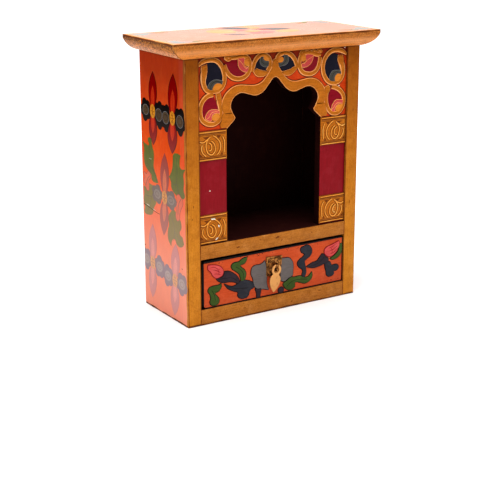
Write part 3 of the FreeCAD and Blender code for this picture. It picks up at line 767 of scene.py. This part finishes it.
sideLeaves = {
    "mossPaint": paths("61,146! 66,154 71,162 70,170 70,178 73,184 75.5,191 79,193! 83,190 81,184 87,184 "
                       "95,186! 92,178 93,170 91,161 85,156 77,152 76,147 68,145; 4,142 6,150 5,158 6,166 "
                       "2,172! 12,172 13,180 11,185! 19,186 27,183 28,176 30,167 34,161 37,158! 33,153 32,147 "
                       "25,142 14,140"),
    "olivePaint": paths("68,140 66,132 67,123 72,117 76,109 86,105.6 95,107 93,113 96,121 94,129 95,136 "
                        "86,134 83,141 76,141; 10,98! 16,101 12,108 14,115 21,119 27,124 36,119 40,113 39,105 "
                        "42,97 41,88 35,82.4! 33,89 27,92 22,87 12,87 7,91!"),
    "budPaint": paths("79,153 84,155 88,151 94,152 92,147 95,142 91,139 89,134 84,133 82,139 83,144 78,149; "
                      "8,137 12,141 17,143 21,140 20,134 24,131 22,125 24,119 21,114 17,115 15,122 12,128 "
                      "9,132"),
}
sideVeins = paths("64,148 72,158 79,170 80,184; 72,158 79,160 86,163; 14,143 20,153 19,166 20,181; 20,153 "
                  "27,152 33,155; 70,137 77,128 82,118 88,109; 77,128 85,127 91,127; 37,117 30,110 27,101 "
                  "29,90; 27,101 20,96 13,93; 81,150 86,145 90,138; 12,139 17,132 19,121")
# Shares of a lobe: its eye, the ring round it and the dark in it; of a petal: its heart and the line in that
flowerShare = {"eye": (0.56, 0.42), "ring": (0.58, 0.44), "dark": (0.34, 0.22), "heart": (0.74, 0.68),
               "heartWide": 0.46, "lineWide": 0.3, "core": 0.55}
sun = {"halfWide": 5.6, "halfHigh": 7.4, "dotsU": 2.8, "dotsV": 3.9, "dot": 0.6, "crossU": 4.2, "crossV": 5.8}
# Radii of the brush lines, how flat they lie and how high in their layer
brushLine = {"ring": 0.22, "dark": 0.25, "edge": 0.42, "heart": 0.2, "core": 0.3, "cross": 0.22, "leaf": 0.35,
             "bud": 0.28, "flat": 0.2, "lift": 0.6}
# A coat of paint is one layer thick; from and to keep a side's strokes on its board
coat = {"layer": 0.05, "sink": 0.02, "from": 1.2, "to": 97.0}


def petalLoop(u, v, tip, wide):
    # A pointed petal with full cheeks, from the flower's middle to its tip
    cheeks = [(0.25, 0.38), (0.5, 0.5), (0.78, 0.35)]
    left = [(u + (tip[0] - u) * t - share * wide, v + (tip[1] - v) * t) for t, share in cheeks]
    right = [(u + (tip[0] - u) * t + share * wide, v + (tip[1] - v) * t) for t, share in reversed(cheeks)]
    return [(u, v, 1)] + left + [(tip[0], tip[1], 1)] + right


def scalloped(u, v, halfWide, halfHigh):
    # A lobe of five rounded lappets, each flower's turned its own way
    ring = []
    for i in range(20):
        t = i * math.pi / 10
        reach = 0.84 + 0.2 * abs(math.sin(2.5 * t))
        sharp = (1,) if i % 4 == 0 else ()
        ring.append((u + math.cos(t + u) * halfWide * reach, v + math.sin(t + u) * halfHigh * reach) + sharp)
    return ring


def paintFlower(f, stroke, line):
    # Two lobes with an eye each, two petals with a heart each, and the sun with its six dots and a cross
    u, v, share = f["u"], f["v"], flowerShare
    for place, (lobeU, lobeV, w, h) in enumerate(f["lobes"]):
        eye, ring, dark = [oval(lobeU, lobeV, w * share[k][0], h * share[k][1])
                           for k in ("eye", "ring", "dark")]
        # Two lobes that meet lie one on the other
        stroke(f["lobe"], scalloped(lobeU, lobeV, w, h), 1 + place / 2)
        stroke(f["eye"], eye, 2)
        line("paleGreyPaint", ring, 2, "ring", True)
        line("lampBlack", dark, 2, "dark", True)
    for tip in (f["up"], f["down"]):
        outer = petalLoop(u, v, tip, f["wide"])
        stroke(f["petal"], outer, 2)
        line(f["edge"], outer, 2, "edge", True)
        inner = (u + (tip[0] - u) * share["heart"][0], v + (tip[1] - v) * share["heart"][1])
        stroke(f["heart"], petalLoop(u, v, inner, f["wide"] * share["heartWide"]), 3)
        line(f["petal"], petalLoop(u, v, inner, f["wide"] * share["lineWide"]), 4, "heart", True)
        coreU, coreV = (tip[0] - u) * share["core"], (tip[1] - v) * share["core"]
        line(f["petal"], [(u, v), (u + coreU / 2, v + coreV / 2), (u + coreU, v + coreV)], 3, "core")
    stroke("yolkPaint", oval(u, v, sun["halfWide"], sun["halfHigh"]), 4)
    for i in range(6):
        turn = i * math.pi / 3
        dot = (u + sun["dotsU"] * math.cos(turn), v + sun["dotsV"] * math.sin(turn))
        stroke("umberLine", oval(*dot, sun["dot"], sun["dot"], count=5), 5)
    for du, dv in ((sun["crossU"], 0), (0, sun["crossV"])):
        line("umberLine", [(u - du, v - dv), (u, v), (u + du, v + dv)], 4, "cross")


def makeSidePainting(plane, tag):
    layers = {}

    def clipped(loop):
        return [(min(max(p[0], coat["from"]), coat["to"]),) + tuple(p[1:]) for p in loop]

    def stroke(name, loop, layer):
        mesh = carved([clipped(loop)], layer * coat["layer"], coat["layer"], coatRim, coat["sink"])
        layers.setdefault(name, []).append(mesh)

    def line(name, run, layer, kind, closed=False):
        level = (layer + brushLine["lift"]) * coat["layer"]
        mesh = ridge(clipped(run), brushLine[kind], level, closed, flat=brushLine["flat"])
        layers.setdefault(name, []).append(mesh)

    for name, loops in sideLeaves.items():
        for loop in loops:
            stroke(name, loop, 0 if name != "budPaint" else 1)
    for vein in sideVeins:
        line("darkLeafPaint", vein, 1, "leaf")
    for bud in sideLeaves["budPaint"]:
        line("brickPaint", bud, 1.4, "bud", True)
    for flower in sideFlowers:
        paintFlower(flower, stroke, line)
    for name, meshes in layers.items():
        # The strokes pale towards the foot, a painted reflection of the floor
        glare = sideFloorGlare["leaves" if name in sideLeaves else "strokes"]
        label = tag + name.replace("Paint", "").capitalize() + "Strokes"
        makePiece(label, meshes, plane, paint(name, 2, glare))


makeSidePainting("left", "leftSide")
makeSidePainting("right", "rightSide")
print("sides painted")

# Top: a painted field inside a gold border, with corner leaves and a flower in the middle
topPainting = {"left": -15.0, "right": 233.0, "front": -8.0, "back": 94.5, "corner": 17.0, "border": 2.6,
               "layer": 0.045, "varnish": 1.0}
# Corner leaves as shares of the corner's size, then the flower's strokes with their layers
cornerLeaves = {
    "skyGreyPaint": path("0.2,0.2! 1.1,0.25 1.7,0.6! 1,0.85 0.8,1.25 0.3,1.5! 0.15,0.9"),
    "mossPaint": path("1.2,0.2! 2,0.35 2.5,0.7! 1.8,0.7"),
}
topFlower = [
    ("topYellowPaint", oval(79, 60, 16, 17), 2),
    ("topYellowPaint", oval(125, 77, 10, 13), 2),
    ("topYellowPaint", oval(143, 30, 14, 11), 2),
    ("topRosePaint", oval(112, 31, 15, 9), 3),
    ("topRosePaint", oval(102, 58, 9, 7), 3),
    ("topYellowPaint", oval(109, 46, 9, 8), 4),
    ("topSlatePaint", path("91,92! 103,91 114,83 122,70! 110,67 99,75"), 3),
    ("topSlatePaint", path("118,62! 131,62 144,60 158,46! 148,41 137,43 127,50"), 3),
    ("topSlatePaint", path("64,36! 74,34 86,27 90,20! 81,22 71,28"), 3),
    ("brickPaint", path("122,56! 130,56 137,49! 128,48"), 4),
]


def makeTopPainting():
    t = topPainting
    layers = {}

    def stroke(name, loop, layer):
        mesh = carved([loop], layer * t["layer"], t["layer"], coatRim, coat["sink"])
        layers.setdefault(name, []).append(mesh)

    u0, u1, v0, v1 = t["left"], t["right"], t["front"], t["back"]
    for name, w, layer in (("topBorderPaint", t["border"], 0), ("topFieldPaint", 0, 1)):
        stroke(name, rectangle(u0 - w, v0 - w, u1 + w, v1 + w), layer)
    c = t["corner"]
    for u, wayU in ((u0, c), (u1, -c)):
        for v, wayV in ((v0, c), (v1, -c)):
            for name, leaf in cornerLeaves.items():
                stroke(name, [(u + wayU * p[0], v + wayV * p[1]) + tuple(p[2:]) for p in leaf], 2)
    for name, loop, layer in topFlower:
        stroke(name, loop, layer)
    for name, meshes in layers.items():
        finish = paint(name, 0).copy()
        finish.name = name + "Varnished"
        finish.node_tree.nodes["Principled BSDF"].inputs["Specular IOR Level"].default_value = t["varnish"]
        makePiece("top" + name.replace("Paint", "").capitalize() + "Strokes", meshes, "top", finish)


makeTopPainting()
print("top painted")


# Finishes of the CAD pieces
def softened(node, edge, face, edgeTone=None, body="cabinet", segments=2):
    # A copy of the CAD piece with its sharp edges eased by hand, as sanded wood or filed brass has
    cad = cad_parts[node]
    joined = bmesh.new()
    joined.from_mesh(cad.data)
    bmesh.ops.remove_doubles(joined, verts=joined.verts, dist=0.001 * mm)
    bmesh.ops.dissolve_limit(joined, angle_limit=math.radians(1), verts=joined.verts, edges=joined.edges)
    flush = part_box("left_stile")[1][1]  # stiles and sides are glued and painted over as one here
    sharp = [e for e in joined.edges if len(e.link_faces) == 2 and e.calc_face_angle(0) > math.radians(30)
             and not all(abs(v.co.y - flush) < 0.01 * mm for v in e.verts)]
    for f in joined.faces:
        f.material_index = 0
    bmesh.ops.bevel(joined, geom=sharp, offset=edge * mm, segments=segments, profile=0.5, affect="EDGES",
                    clamp_overlap=True, material=1 if edgeTone else -1)
    bmesh.ops.triangulate(joined, faces=[f for f in joined.faces if len(f.verts) > 4])
    materials = [face] + ([edgeTone] if edgeTone else [])
    piece = addPiece(node + "Eased", joined, materials, body, 28, cad.matrix_world)
    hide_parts(node)


stilePaint = {"stripMm": 3.4, "wobbleMm": 2.2, "wobbleLengthMm": 25}


def stileFinish(label, sign):
    # Gold on the front, the side's orange on the flank but for a narrow strip by the corner
    material, tree, shader = blankMaterial(label)
    s = stilePaint
    gold = brushWork(tree, "goldOchrePaint", 2)
    flank = brushWork(tree, "sidePaint", 2)
    # The flank pales towards the foot, a painted reflection of the floor
    flank = (paintedFloorGlare(tree, flank[0], sideFloorGlare["ground"]),) + flank[1:]
    where = addNode(tree, "TexCoord")
    wobble = addNode(tree, "TexNoise", {"Scale": 1 / (s["wobbleLengthMm"] * mm), "Detail": 2.0},
                     {"Vector": where["Object"]})
    shift = addNode(tree, "MapRange", {3: -s["wobbleMm"] * mm, 4: s["wobbleMm"] * mm}, {0: wobble[0]})
    back = addNode(tree, "Math", None, {0: placeAxes(tree)[1], 1: shift[0]})
    behind = addNode(tree, "Math", {"operation": "GREATER_THAN", 1: frontY + s["stripMm"] * mm}, {0: back[0]})
    mask = addNode(tree, "Math", {"operation": "MULTIPLY"}, {0: behind[0], 1: facing(tree, 0, sign)})
    plug(tree, shader, *mixed(tree, mask[0], gold, flank))
    return material


# Cornice: painted shade and dirt browning its nose, a pale band of painted highlight across its face, chalky
# flecks on its left end
corniceMarks = {"colour": "#42200A", "bandMm": 9.5, "grainMm": 1.1, "front": 0.62, "end": 1.0, "endFlecks": 0.95,
               "endGrainMm": 2.4, "chalk": "#F2B592", "chalkShare": 0.5, "chalkMm": (8, 13), "deepMm": 17.0,
               "rub": "#F0A468", "paintedSheen": [(0.12, 0.0), (0.42, 0.5), (0.66, 0.0)], "speckle": (0.44, 0.54),
               "fleck": (0.52, 0.57), "toEnd": 0.3, "under": 0.97}


def corniceFinish():
    # Gold all over; painted shade and dirt brown the nose in specks, a pale band of painted highlight crosses
    # the front, the left end is flecked, dark stain underneath
    material, tree, shader = blankMaterial("corniceGold")
    d = corniceMarks
    gold = brushWork(tree, "corniceOchre", 0)
    end = brushWork(tree, "corniceEnd", 1)
    stain = brushWork(tree, "maroonStain", 0)
    where = addNode(tree, "TexCoord")
    up = placeAxes(tree)[2]
    nose = addNode(tree, "MapRange", {1: topZ - d["bandMm"] * mm, 2: topZ - mm}, {0: up})
    grain = addNode(tree, "TexNoise", {"Scale": 1 / (d["grainMm"] * mm), "Detail": 5.0, "Roughness": 0.75},
                    {"Vector": where["Object"]})
    speckle = addNode(tree, "MapRange", {1: d["speckle"][0], 2: d["speckle"][1]}, {0: grain[0]})
    coarse = addNode(tree, "TexNoise", {"Scale": 1 / (d["endGrainMm"] * mm), "Detail": 4.0, "Roughness": 0.7},
                     {"Vector": where["Object"]})
    fleck = addNode(tree, "MapRange", {1: d["fleck"][0], 2: d["fleck"][1], 4: d["endFlecks"]}, {0: coarse[0]})
    high, low = d["chalkMm"]
    chalk = addNode(tree, "MapRange", {1: topZ - high * mm, 2: topZ - low * mm, 4: d["chalkShare"]}, {0: up})
    chalky = addNode(tree, "Mix", {"data_type": "RGBA", 7: d["chalk"]}, {0: chalk[0], 6: end[0]})
    # Painted highlight: a pale band across the front face, where the moulding would catch light
    across = addNode(tree, "MapRange", {1: topZ - d["deepMm"] * mm, 2: topZ}, {0: up})
    sheen = addNode(tree, "ValToRGB", None, {0: across[0]})
    stops = sheen[0].node.color_ramp.elements
    for place, share in d["paintedSheen"]:
        stops.new(place).color = (share, share, share, 1.0)
    stops.remove(stops[-1])
    lit = addNode(tree, "Mix", {"data_type": "RGBA", 7: d["rub"]}, {0: sheen[0], 6: gold[0]})
    noseDarkened = []
    # Painted shade and dirt: the nose darkens in specks towards its top
    for layer, tone, most in ((gold, lit, "front"), (end, chalky, "end")):
        amount = addNode(tree, "Math", {"operation": "MULTIPLY"}, {0: nose[0], 1: speckle[0]})
        share = addNode(tree, "Math", {"operation": "MULTIPLY", 1: d[most]}, {0: amount[0]})
        if layer is end:
            share = addNode(tree, "Math", {"operation": "MAXIMUM"}, {0: share[0], 1: fleck[0]})
        brown = addNode(tree, "Mix", {"data_type": "RGBA", 7: d["colour"]}, {0: share[0], 6: tone[2]})
        noseDarkened.append((brown[2],) + tuple(layer[1:]))
    paintedSheen = mixed(tree, facing(tree, 0, -1, d["toEnd"]), *noseDarkened)
    plug(tree, shader, *mixed(tree, facing(tree, 2, -1, d["under"]), paintedSheen, stain))
    return material


def dressCabinet():
    for side, sign in (("left", -1), ("right", 1)):
        softened(side + "_stile", 0.5, stileFinish(side + "StileFinish", sign), paint("wornGoldEdge", 2))
    rail = twoFaced("railFinish", "railGoldPaint", "maroonStain", 1, -1, 0)
    for node in ("bottom_rail", "middle_rail"):
        softened(node, 0.3, rail, paint("wornGoldEdge", 0))
    softened("top_board", 0.7, corniceFinish(), paint("wornGoldEdge", 0))
    # The sides and the back pale towards the foot, a painted reflection of the floor
    for side, sign in (("left", -1), ("right", 1)):
        board = twoFaced(side + "SideFinish", "sidePaint", "maroonStain", 0, sign, 2, sideFloorGlare["ground"], True)
        softened(side + "_side", 0.6, board, paint("wornSideEdge", 2))
    back = twoFaced("backFinish", "sidePaint", "maroonStain", 1, 1, 2, sideFloorGlare["strokes"])
    softened("back_panel", 0.4, back, paint("wornSideEdge", 2))
    drawer = twoFaced("drawerFinish", "drawerPaint", "blackPaint", 1, -1, 0)
    softened("drawer_front", 0.5, drawer, paint("blackPaint", 0), "drawer")
    # These keep their CAD meshes and get a better finish, with the grain along each board
    alongX = ["base_board", "drawer_back", "drawer_bottom"]
    alongY = ["left_guide", "right_guide", "drawer_left_side", "drawer_right_side"]
    for nodes, finish in ((["niche_floor"], paint("maroonStain", 0)), (alongX, paint("bareSoftwood", 0)),
                          (alongY, paint("bareSoftwood", 1))):
        for node in nodes:
            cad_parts[node].data.materials[0] = finish


dressCabinet()
print("cabinet dressed")

# Wear: chips down to the white gesso, rubbed spots, joint lines and a split in the left side
chips = {  # plane: (u, v, half long, half high, turn, level)
    "front": [(31.6, 115.6, 3.1, 0.8, -8, -0.62), (38.7, 107.2, 0.9, 1.7, 20, -0.95),
              (36.2, 93.4, 1.9, 0.7, 30, -1.2), (191.4, 242, 0.9, 0.9, 0, -0.75),
              (199, 282.4, 0.8, 0.6, 0, -1.8), (29, 146, 0.8, 0.7, 35, -2.2)],
    "left": [(86, 116.6, 4.6, 0.3, 5, 0.02), (72, 114.2, 3.8, 0.26, 6, 0.02), (78, 169.4, 3.2, 0.2, 0, 0.02)],
}
scuffs = {
    "front": [(62, 80.2, 2.6, 0.8, 10, 0), (90, 84, 1.2, 0.5, -20, 0), (112, 83.4, 3.4, 1, 12, 0),
              (118, 79.4, 1.4, 0.6, 40, 0), (158, 82, 1, 0.5, 0, 0), (70, 10, 2, 0.6, 0, 0),
              (132, 6, 1.4, 0.7, 15, 0), (170, 12, 2.4, 0.5, -8, 0), (8, 132, 0.5, 1.6, 0, 0),
              (6.2, 118.6, 0.9, 0.7, 30, 0), (209, 110, 0.5, 2.2, 0, 0), (211, 214, 0.6, 1.4, 0, 0)],
    "left": [(28, 15, 1.6, 0.5, 0, 0.02), (12, 63, 1.2, 0.5, 40, 0.02), (95, 69, 0.9, 0.7, 0, 0.02),
             (48, 113.2, 6, 0.22, -3, 0.02)],
}
# The split runs from the back edge forwards and fades out
splitLine = path("97,116.2 88,115.2 76,113.6 66,112.2 56,112.4 44,113")
jointLines = paths("15.5,0.6 15.4,60 15.6,130 15.5,210 15.5,283.4; 202.5,0.6 202.6,70 202.4,150 202.5,220 "
                   "202.5,283.4")
# Dark lines where the cornice meets the stiles: a joint, with painted shade under the cornice's overhang
seamShadeLines = paths("0.8,283.5 7.8,283.6 14.8,283.5; 203.2,283.5 210.2,283.6 217.2,283.5")
# A chip's and a scuff's thickness, rim and sink; then the radii of the dark lines and where they run
wear = {"chip": (0.1, 0.03, 0.1), "scuff": (0.04, 0.01, 0.05), "split": 0.34, "splitLift": 0.02,
        "splitFlat": 0.3, "splitSwell": [1.0, 1.0, 0.9, 0.8, 0.5, 0.2], "joint": 0.4, "jointFlat": 0.16,
        "jointDirt": 0.55, "jointStepMm": 4.0, "seamShade": 0.5, "foot": 0.8, "footUp": 1.2, "edge": 0.4,
        "edgeRun": [(0.8, 1), (0.8, 280)], "rim": 0.7, "rimDown": 1.3, "sideEdge": 0.9}


def raggedLine(dice, start, end, radius, level, stepMm=7.0):
    # A dark line that comes and goes, along an arris or a joint
    count = max(3, int(math.dist(start, end) / stepMm))
    run = [(start[0] + (end[0] - start[0]) * i / count, start[1] + (end[1] - start[1]) * i / count)
           for i in range(count + 1)]
    return ridge(run, radius, level, swell=[dice.uniform(0.25, 1.3) for knot in run], flat=0.1)


def makeWear():
    dice, w = random.Random(11), wear
    for plane, group in chips.items():
        meshes = [carved([flake(dice, *chip[:5])], chip[5], *w["chip"]) for chip in group]
        makePiece(plane + "GessoChips", meshes, plane, paint("gessoWhite", 2))
    for plane, group in scuffs.items():
        meshes = [carved([flake(dice, *scuff[:5])], scuff[5], *w["scuff"]) for scuff in group]
        makePiece(plane + "Scuffs", meshes, plane, paint("umberLine", 0))
    split = ridge(splitLine, w["split"], w["splitLift"], swell=w["splitSwell"], flat=w["splitFlat"])
    makePiece("sideSplit", [split], "left", paint("lampBlack", 1))
    joints = [ridge(run, w["joint"], 0.0, flat=w["jointFlat"]) for run in jointLines]
    joints += [raggedLine(dice, run[0], run[-1], w["jointDirt"], 0.0, w["jointStepMm"]) for run in jointLines]
    joints += [ridge(run, w["seamShade"], 0.0, flat=w["jointFlat"]) for run in seamShadeLines]
    makePiece("frameJoints", joints, "front", paint("umberLine", 2))
    width, depth = (rightX - leftX) / mm, (backY - frontY) / mm
    low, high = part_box("top_board")
    rim = (high.z - groundZ) / mm - w["rimDown"]
    west, east = (low.x - leftX) / mm, (high.x - leftX) / mm
    overhang, up = (frontY - low.y) / mm, w["footUp"]
    arrises = [raggedLine(dice, (up, up), (width - up, up), w["foot"], 0.0),
               raggedLine(dice, *w["edgeRun"], w["edge"], 0.0),
               raggedLine(dice, (west + 1, rim), (east - 1, rim), w["rim"], overhang)]
    makePiece("frontArrises", arrises, "front", paint("arrisBrown", 0))
    for plane in ("left", "right"):
        arrises = [raggedLine(dice, (up, up), (depth - up, up), w["sideEdge"], 0.0),
                   raggedLine(dice, (1 - overhang, rim), (depth - 1, rim), w["sideEdge"], -west)]
        makePiece(plane + "Arrises", arrises, plane, paint("arrisBrown", 1))


makeWear()
print("wear added")

# Brass pull: stamped plate with its scrolls, split-pin eye and flat drop
pullPlate = {"u": 108.0, "v": 51.2, "turn": -3.0, "line": 0.42, "sink": 0.05, "flat": 0.8}
plateScrolls = paths("-7.6,8.6 0,9.2 7.6,8.6 8.2,0 7.4,-8.4 0,-9 -7.4,-8.4 -8.2,0 -7.6,8.6; -6.2,-6.8 -6.8,-1 "
                     "-5.2,4 -2,6.4 0.8,4.8 0.4,2 -1.8,1.8; 6.2,-6.8 6.8,-1 5.6,4 3.8,6.6; -4.4,-7 -2.6,-4.4 "
                     "0,-7.4 2.6,-4.4 4.4,-7")


# Noises as size in mm, detail and roughness
tarnishMarks = {"patch": (3.5, 5.0, 0.65), "scratch": (0.5, 2.0, 0.5), "edge": 0.2, "duller": 0.22}


def brass(label, base, tarnish, rough, spread):
    # Yellow metal with brown tarnish where hands never reach
    material, tree, shader = blankMaterial(label)
    shader.inputs["Metallic"].default_value = 1.0
    shader.inputs["Specular IOR Level"].default_value = 0.5
    place = addNode(tree, "TexCoord")["Object"]
    noise = {}
    for kind in ("patch", "scratch"):
        size, detail, coarse = tarnishMarks[kind]
        settings = {"Scale": 1 / (size * mm), "Detail": detail, "Roughness": coarse}
        noise[kind] = addNode(tree, "TexNoise", settings, {"Vector": place})[0]
    grime = addNode(tree, "MapRange", {1: spread, 2: spread + tarnishMarks["edge"]}, {0: noise["patch"]})
    tone = addNode(tree, "Mix", {"data_type": "RGBA", 6: base, 7: tarnish}, {0: grime[0]})
    dull = addNode(tree, "MapRange", {3: rough, 4: rough + tarnishMarks["duller"]}, {0: grime[0]})
    relief = addNode(tree, "Bump", {"Strength": 0.2, "Distance": 0.1 * mm}, {"Height": noise["scratch"]})
    plug(tree, shader, tone[2], dull[0], relief[0])
    return material


def makePull():
    plate = brass("plateBrass", "#A76D35", "#331A0D", 0.42, 0.42)
    softened("pull_plate", 0.25, plate, body="drawer")
    softened("pull_eye", 0.1, plate, body="drawer")
    drop = brass("dropBrass", "#C68C50", "#7C4D25", 0.4, 0.56)
    dark = brass("tarnishedBrass", "#422513", "#180D05", 0.6, 0.4)
    softened("pull_drop", 0.35, drop, body="pull", segments=3)
    level = (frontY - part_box("pull_plate")[0][1]) / mm
    p = pullPlate
    lines = [ridge(turned(run, p["u"], p["v"], p["turn"]), p["line"], level - p["sink"], flat=p["flat"])
             for run in plateScrolls]
    makePiece("plateScrollwork", lines, "front", dark, "drawer")


makePull()
print("pull dressed")

# Floor, world, lamps and camera
stage = {"floorM": 12, "paper": "#FAFAFA", "paperRough": 0.9, "white": "#FFFFFF", "glowM": (0.35, 1.1),
         "room": 0.17, "backdrop": 1.0}
# Each lamp's place and target in m, its size in m and its power in W
lamps = {"softboxHigh": ((-0.15, -0.12, 1.5), (-0.15, -0.12, 0), 1.3, 45.0),
         "softboxFront": ((-0.3, -1.9, 0.45), (0, 0, 0.12), 0.9, 1.2)}
# The camera's place is in mm from the body's front left foot
viewpoint = {"lens": 84.36, "sensor": 36.0, "place": (-567.8, -1017.2, 442.5), "tilt": 73.015, "turn": -32.365}


def seenRays(tree):
    # 1 for what the camera sees straight or mirrored in brass and varnish
    ray = addNode(tree, "LightPath")
    seen = ray["Is Camera Ray"]
    for kind in ("Is Glossy Ray", "Is Transmission Ray"):
        seen = addNode(tree, "Math", {"operation": "MAXIMUM"}, {0: seen, 1: ray[kind]})[0]
    return seen


def makeStage():
    s = stage
    bpy.ops.mesh.primitive_plane_add(size=s["floorM"], location=(0, 0, groundZ))
    floor = bpy.context.object
    floor.name = "floor"
    material, tree, shader = blankMaterial("paperSweep")
    for socket, value in (("Base Color", hexColour(s["paper"])), ("Roughness", s["paperRough"]),
                          ("Emission Color", hexColour(s["white"]))):
        shader.inputs[socket].default_value = value
    where = addNode(tree, "TexCoord")
    reach = addNode(tree, "VectorMath", {"operation": "LENGTH"}, {0: where["Object"]})
    near, far = s["glowM"]
    glow = addNode(tree, "MapRange", {"interpolation_type": "SMOOTHSTEP", 1: near, 2: far, 3: 0.0, 4: 1.0},
                   {0: reach["Value"]})
    seen = addNode(tree, "Math", {"operation": "MULTIPLY"}, {0: glow[0], 1: seenRays(tree)})
    tree.links.new(seen[0], shader.inputs["Emission Strength"])  # the far floor runs into the backdrop
    floor.data.materials.append(material)
    world = bpy.data.worlds.new("studio")
    bpy.context.scene.world = world
    world.use_nodes = True
    tree = world.node_tree
    room = tree.nodes["Background"]
    room.inputs["Color"].default_value = hexColour(s["white"])
    room.inputs["Strength"].default_value = s["room"]
    backdrop = addNode(tree, "Background", {"Color": s["white"], "Strength": s["backdrop"]})
    blend = addNode(tree, "MixShader", None, {0: seenRays(tree), 1: room.outputs[0], 2: backdrop[0]})
    tree.links.new(blend[0], tree.nodes["World Output"].inputs["Surface"])


def addLamp(name, place, target, size, power):
    lamp = bpy.data.lights.new(name, "AREA")
    lamp.shape = "SQUARE"
    lamp.size = size
    lamp.energy = power
    holder = bpy.data.objects.new(name, lamp)
    bpy.context.scene.collection.objects.link(holder)
    holder.location = place
    holder.rotation_euler = (Vector(target) - Vector(place)).to_track_quat("-Z", "Y").to_euler()


def makeCamera():
    camera = bpy.data.cameras.new("camera")
    camera.lens = viewpoint["lens"]
    camera.sensor_width = viewpoint["sensor"]
    holder = bpy.data.objects.new("camera", camera)
    bpy.context.scene.collection.objects.link(holder)
    holder.location = Vector((leftX, frontY, groundZ)) + Vector(viewpoint["place"]) * mm
    holder.rotation_euler = (math.radians(viewpoint["tilt"]), 0.0, math.radians(viewpoint["turn"]))
    bpy.context.scene.camera = holder


makeStage()
for name, settings in lamps.items():
    addLamp(name, *settings)
makeCamera()
bpy.context.scene.view_settings.view_transform = "Standard"
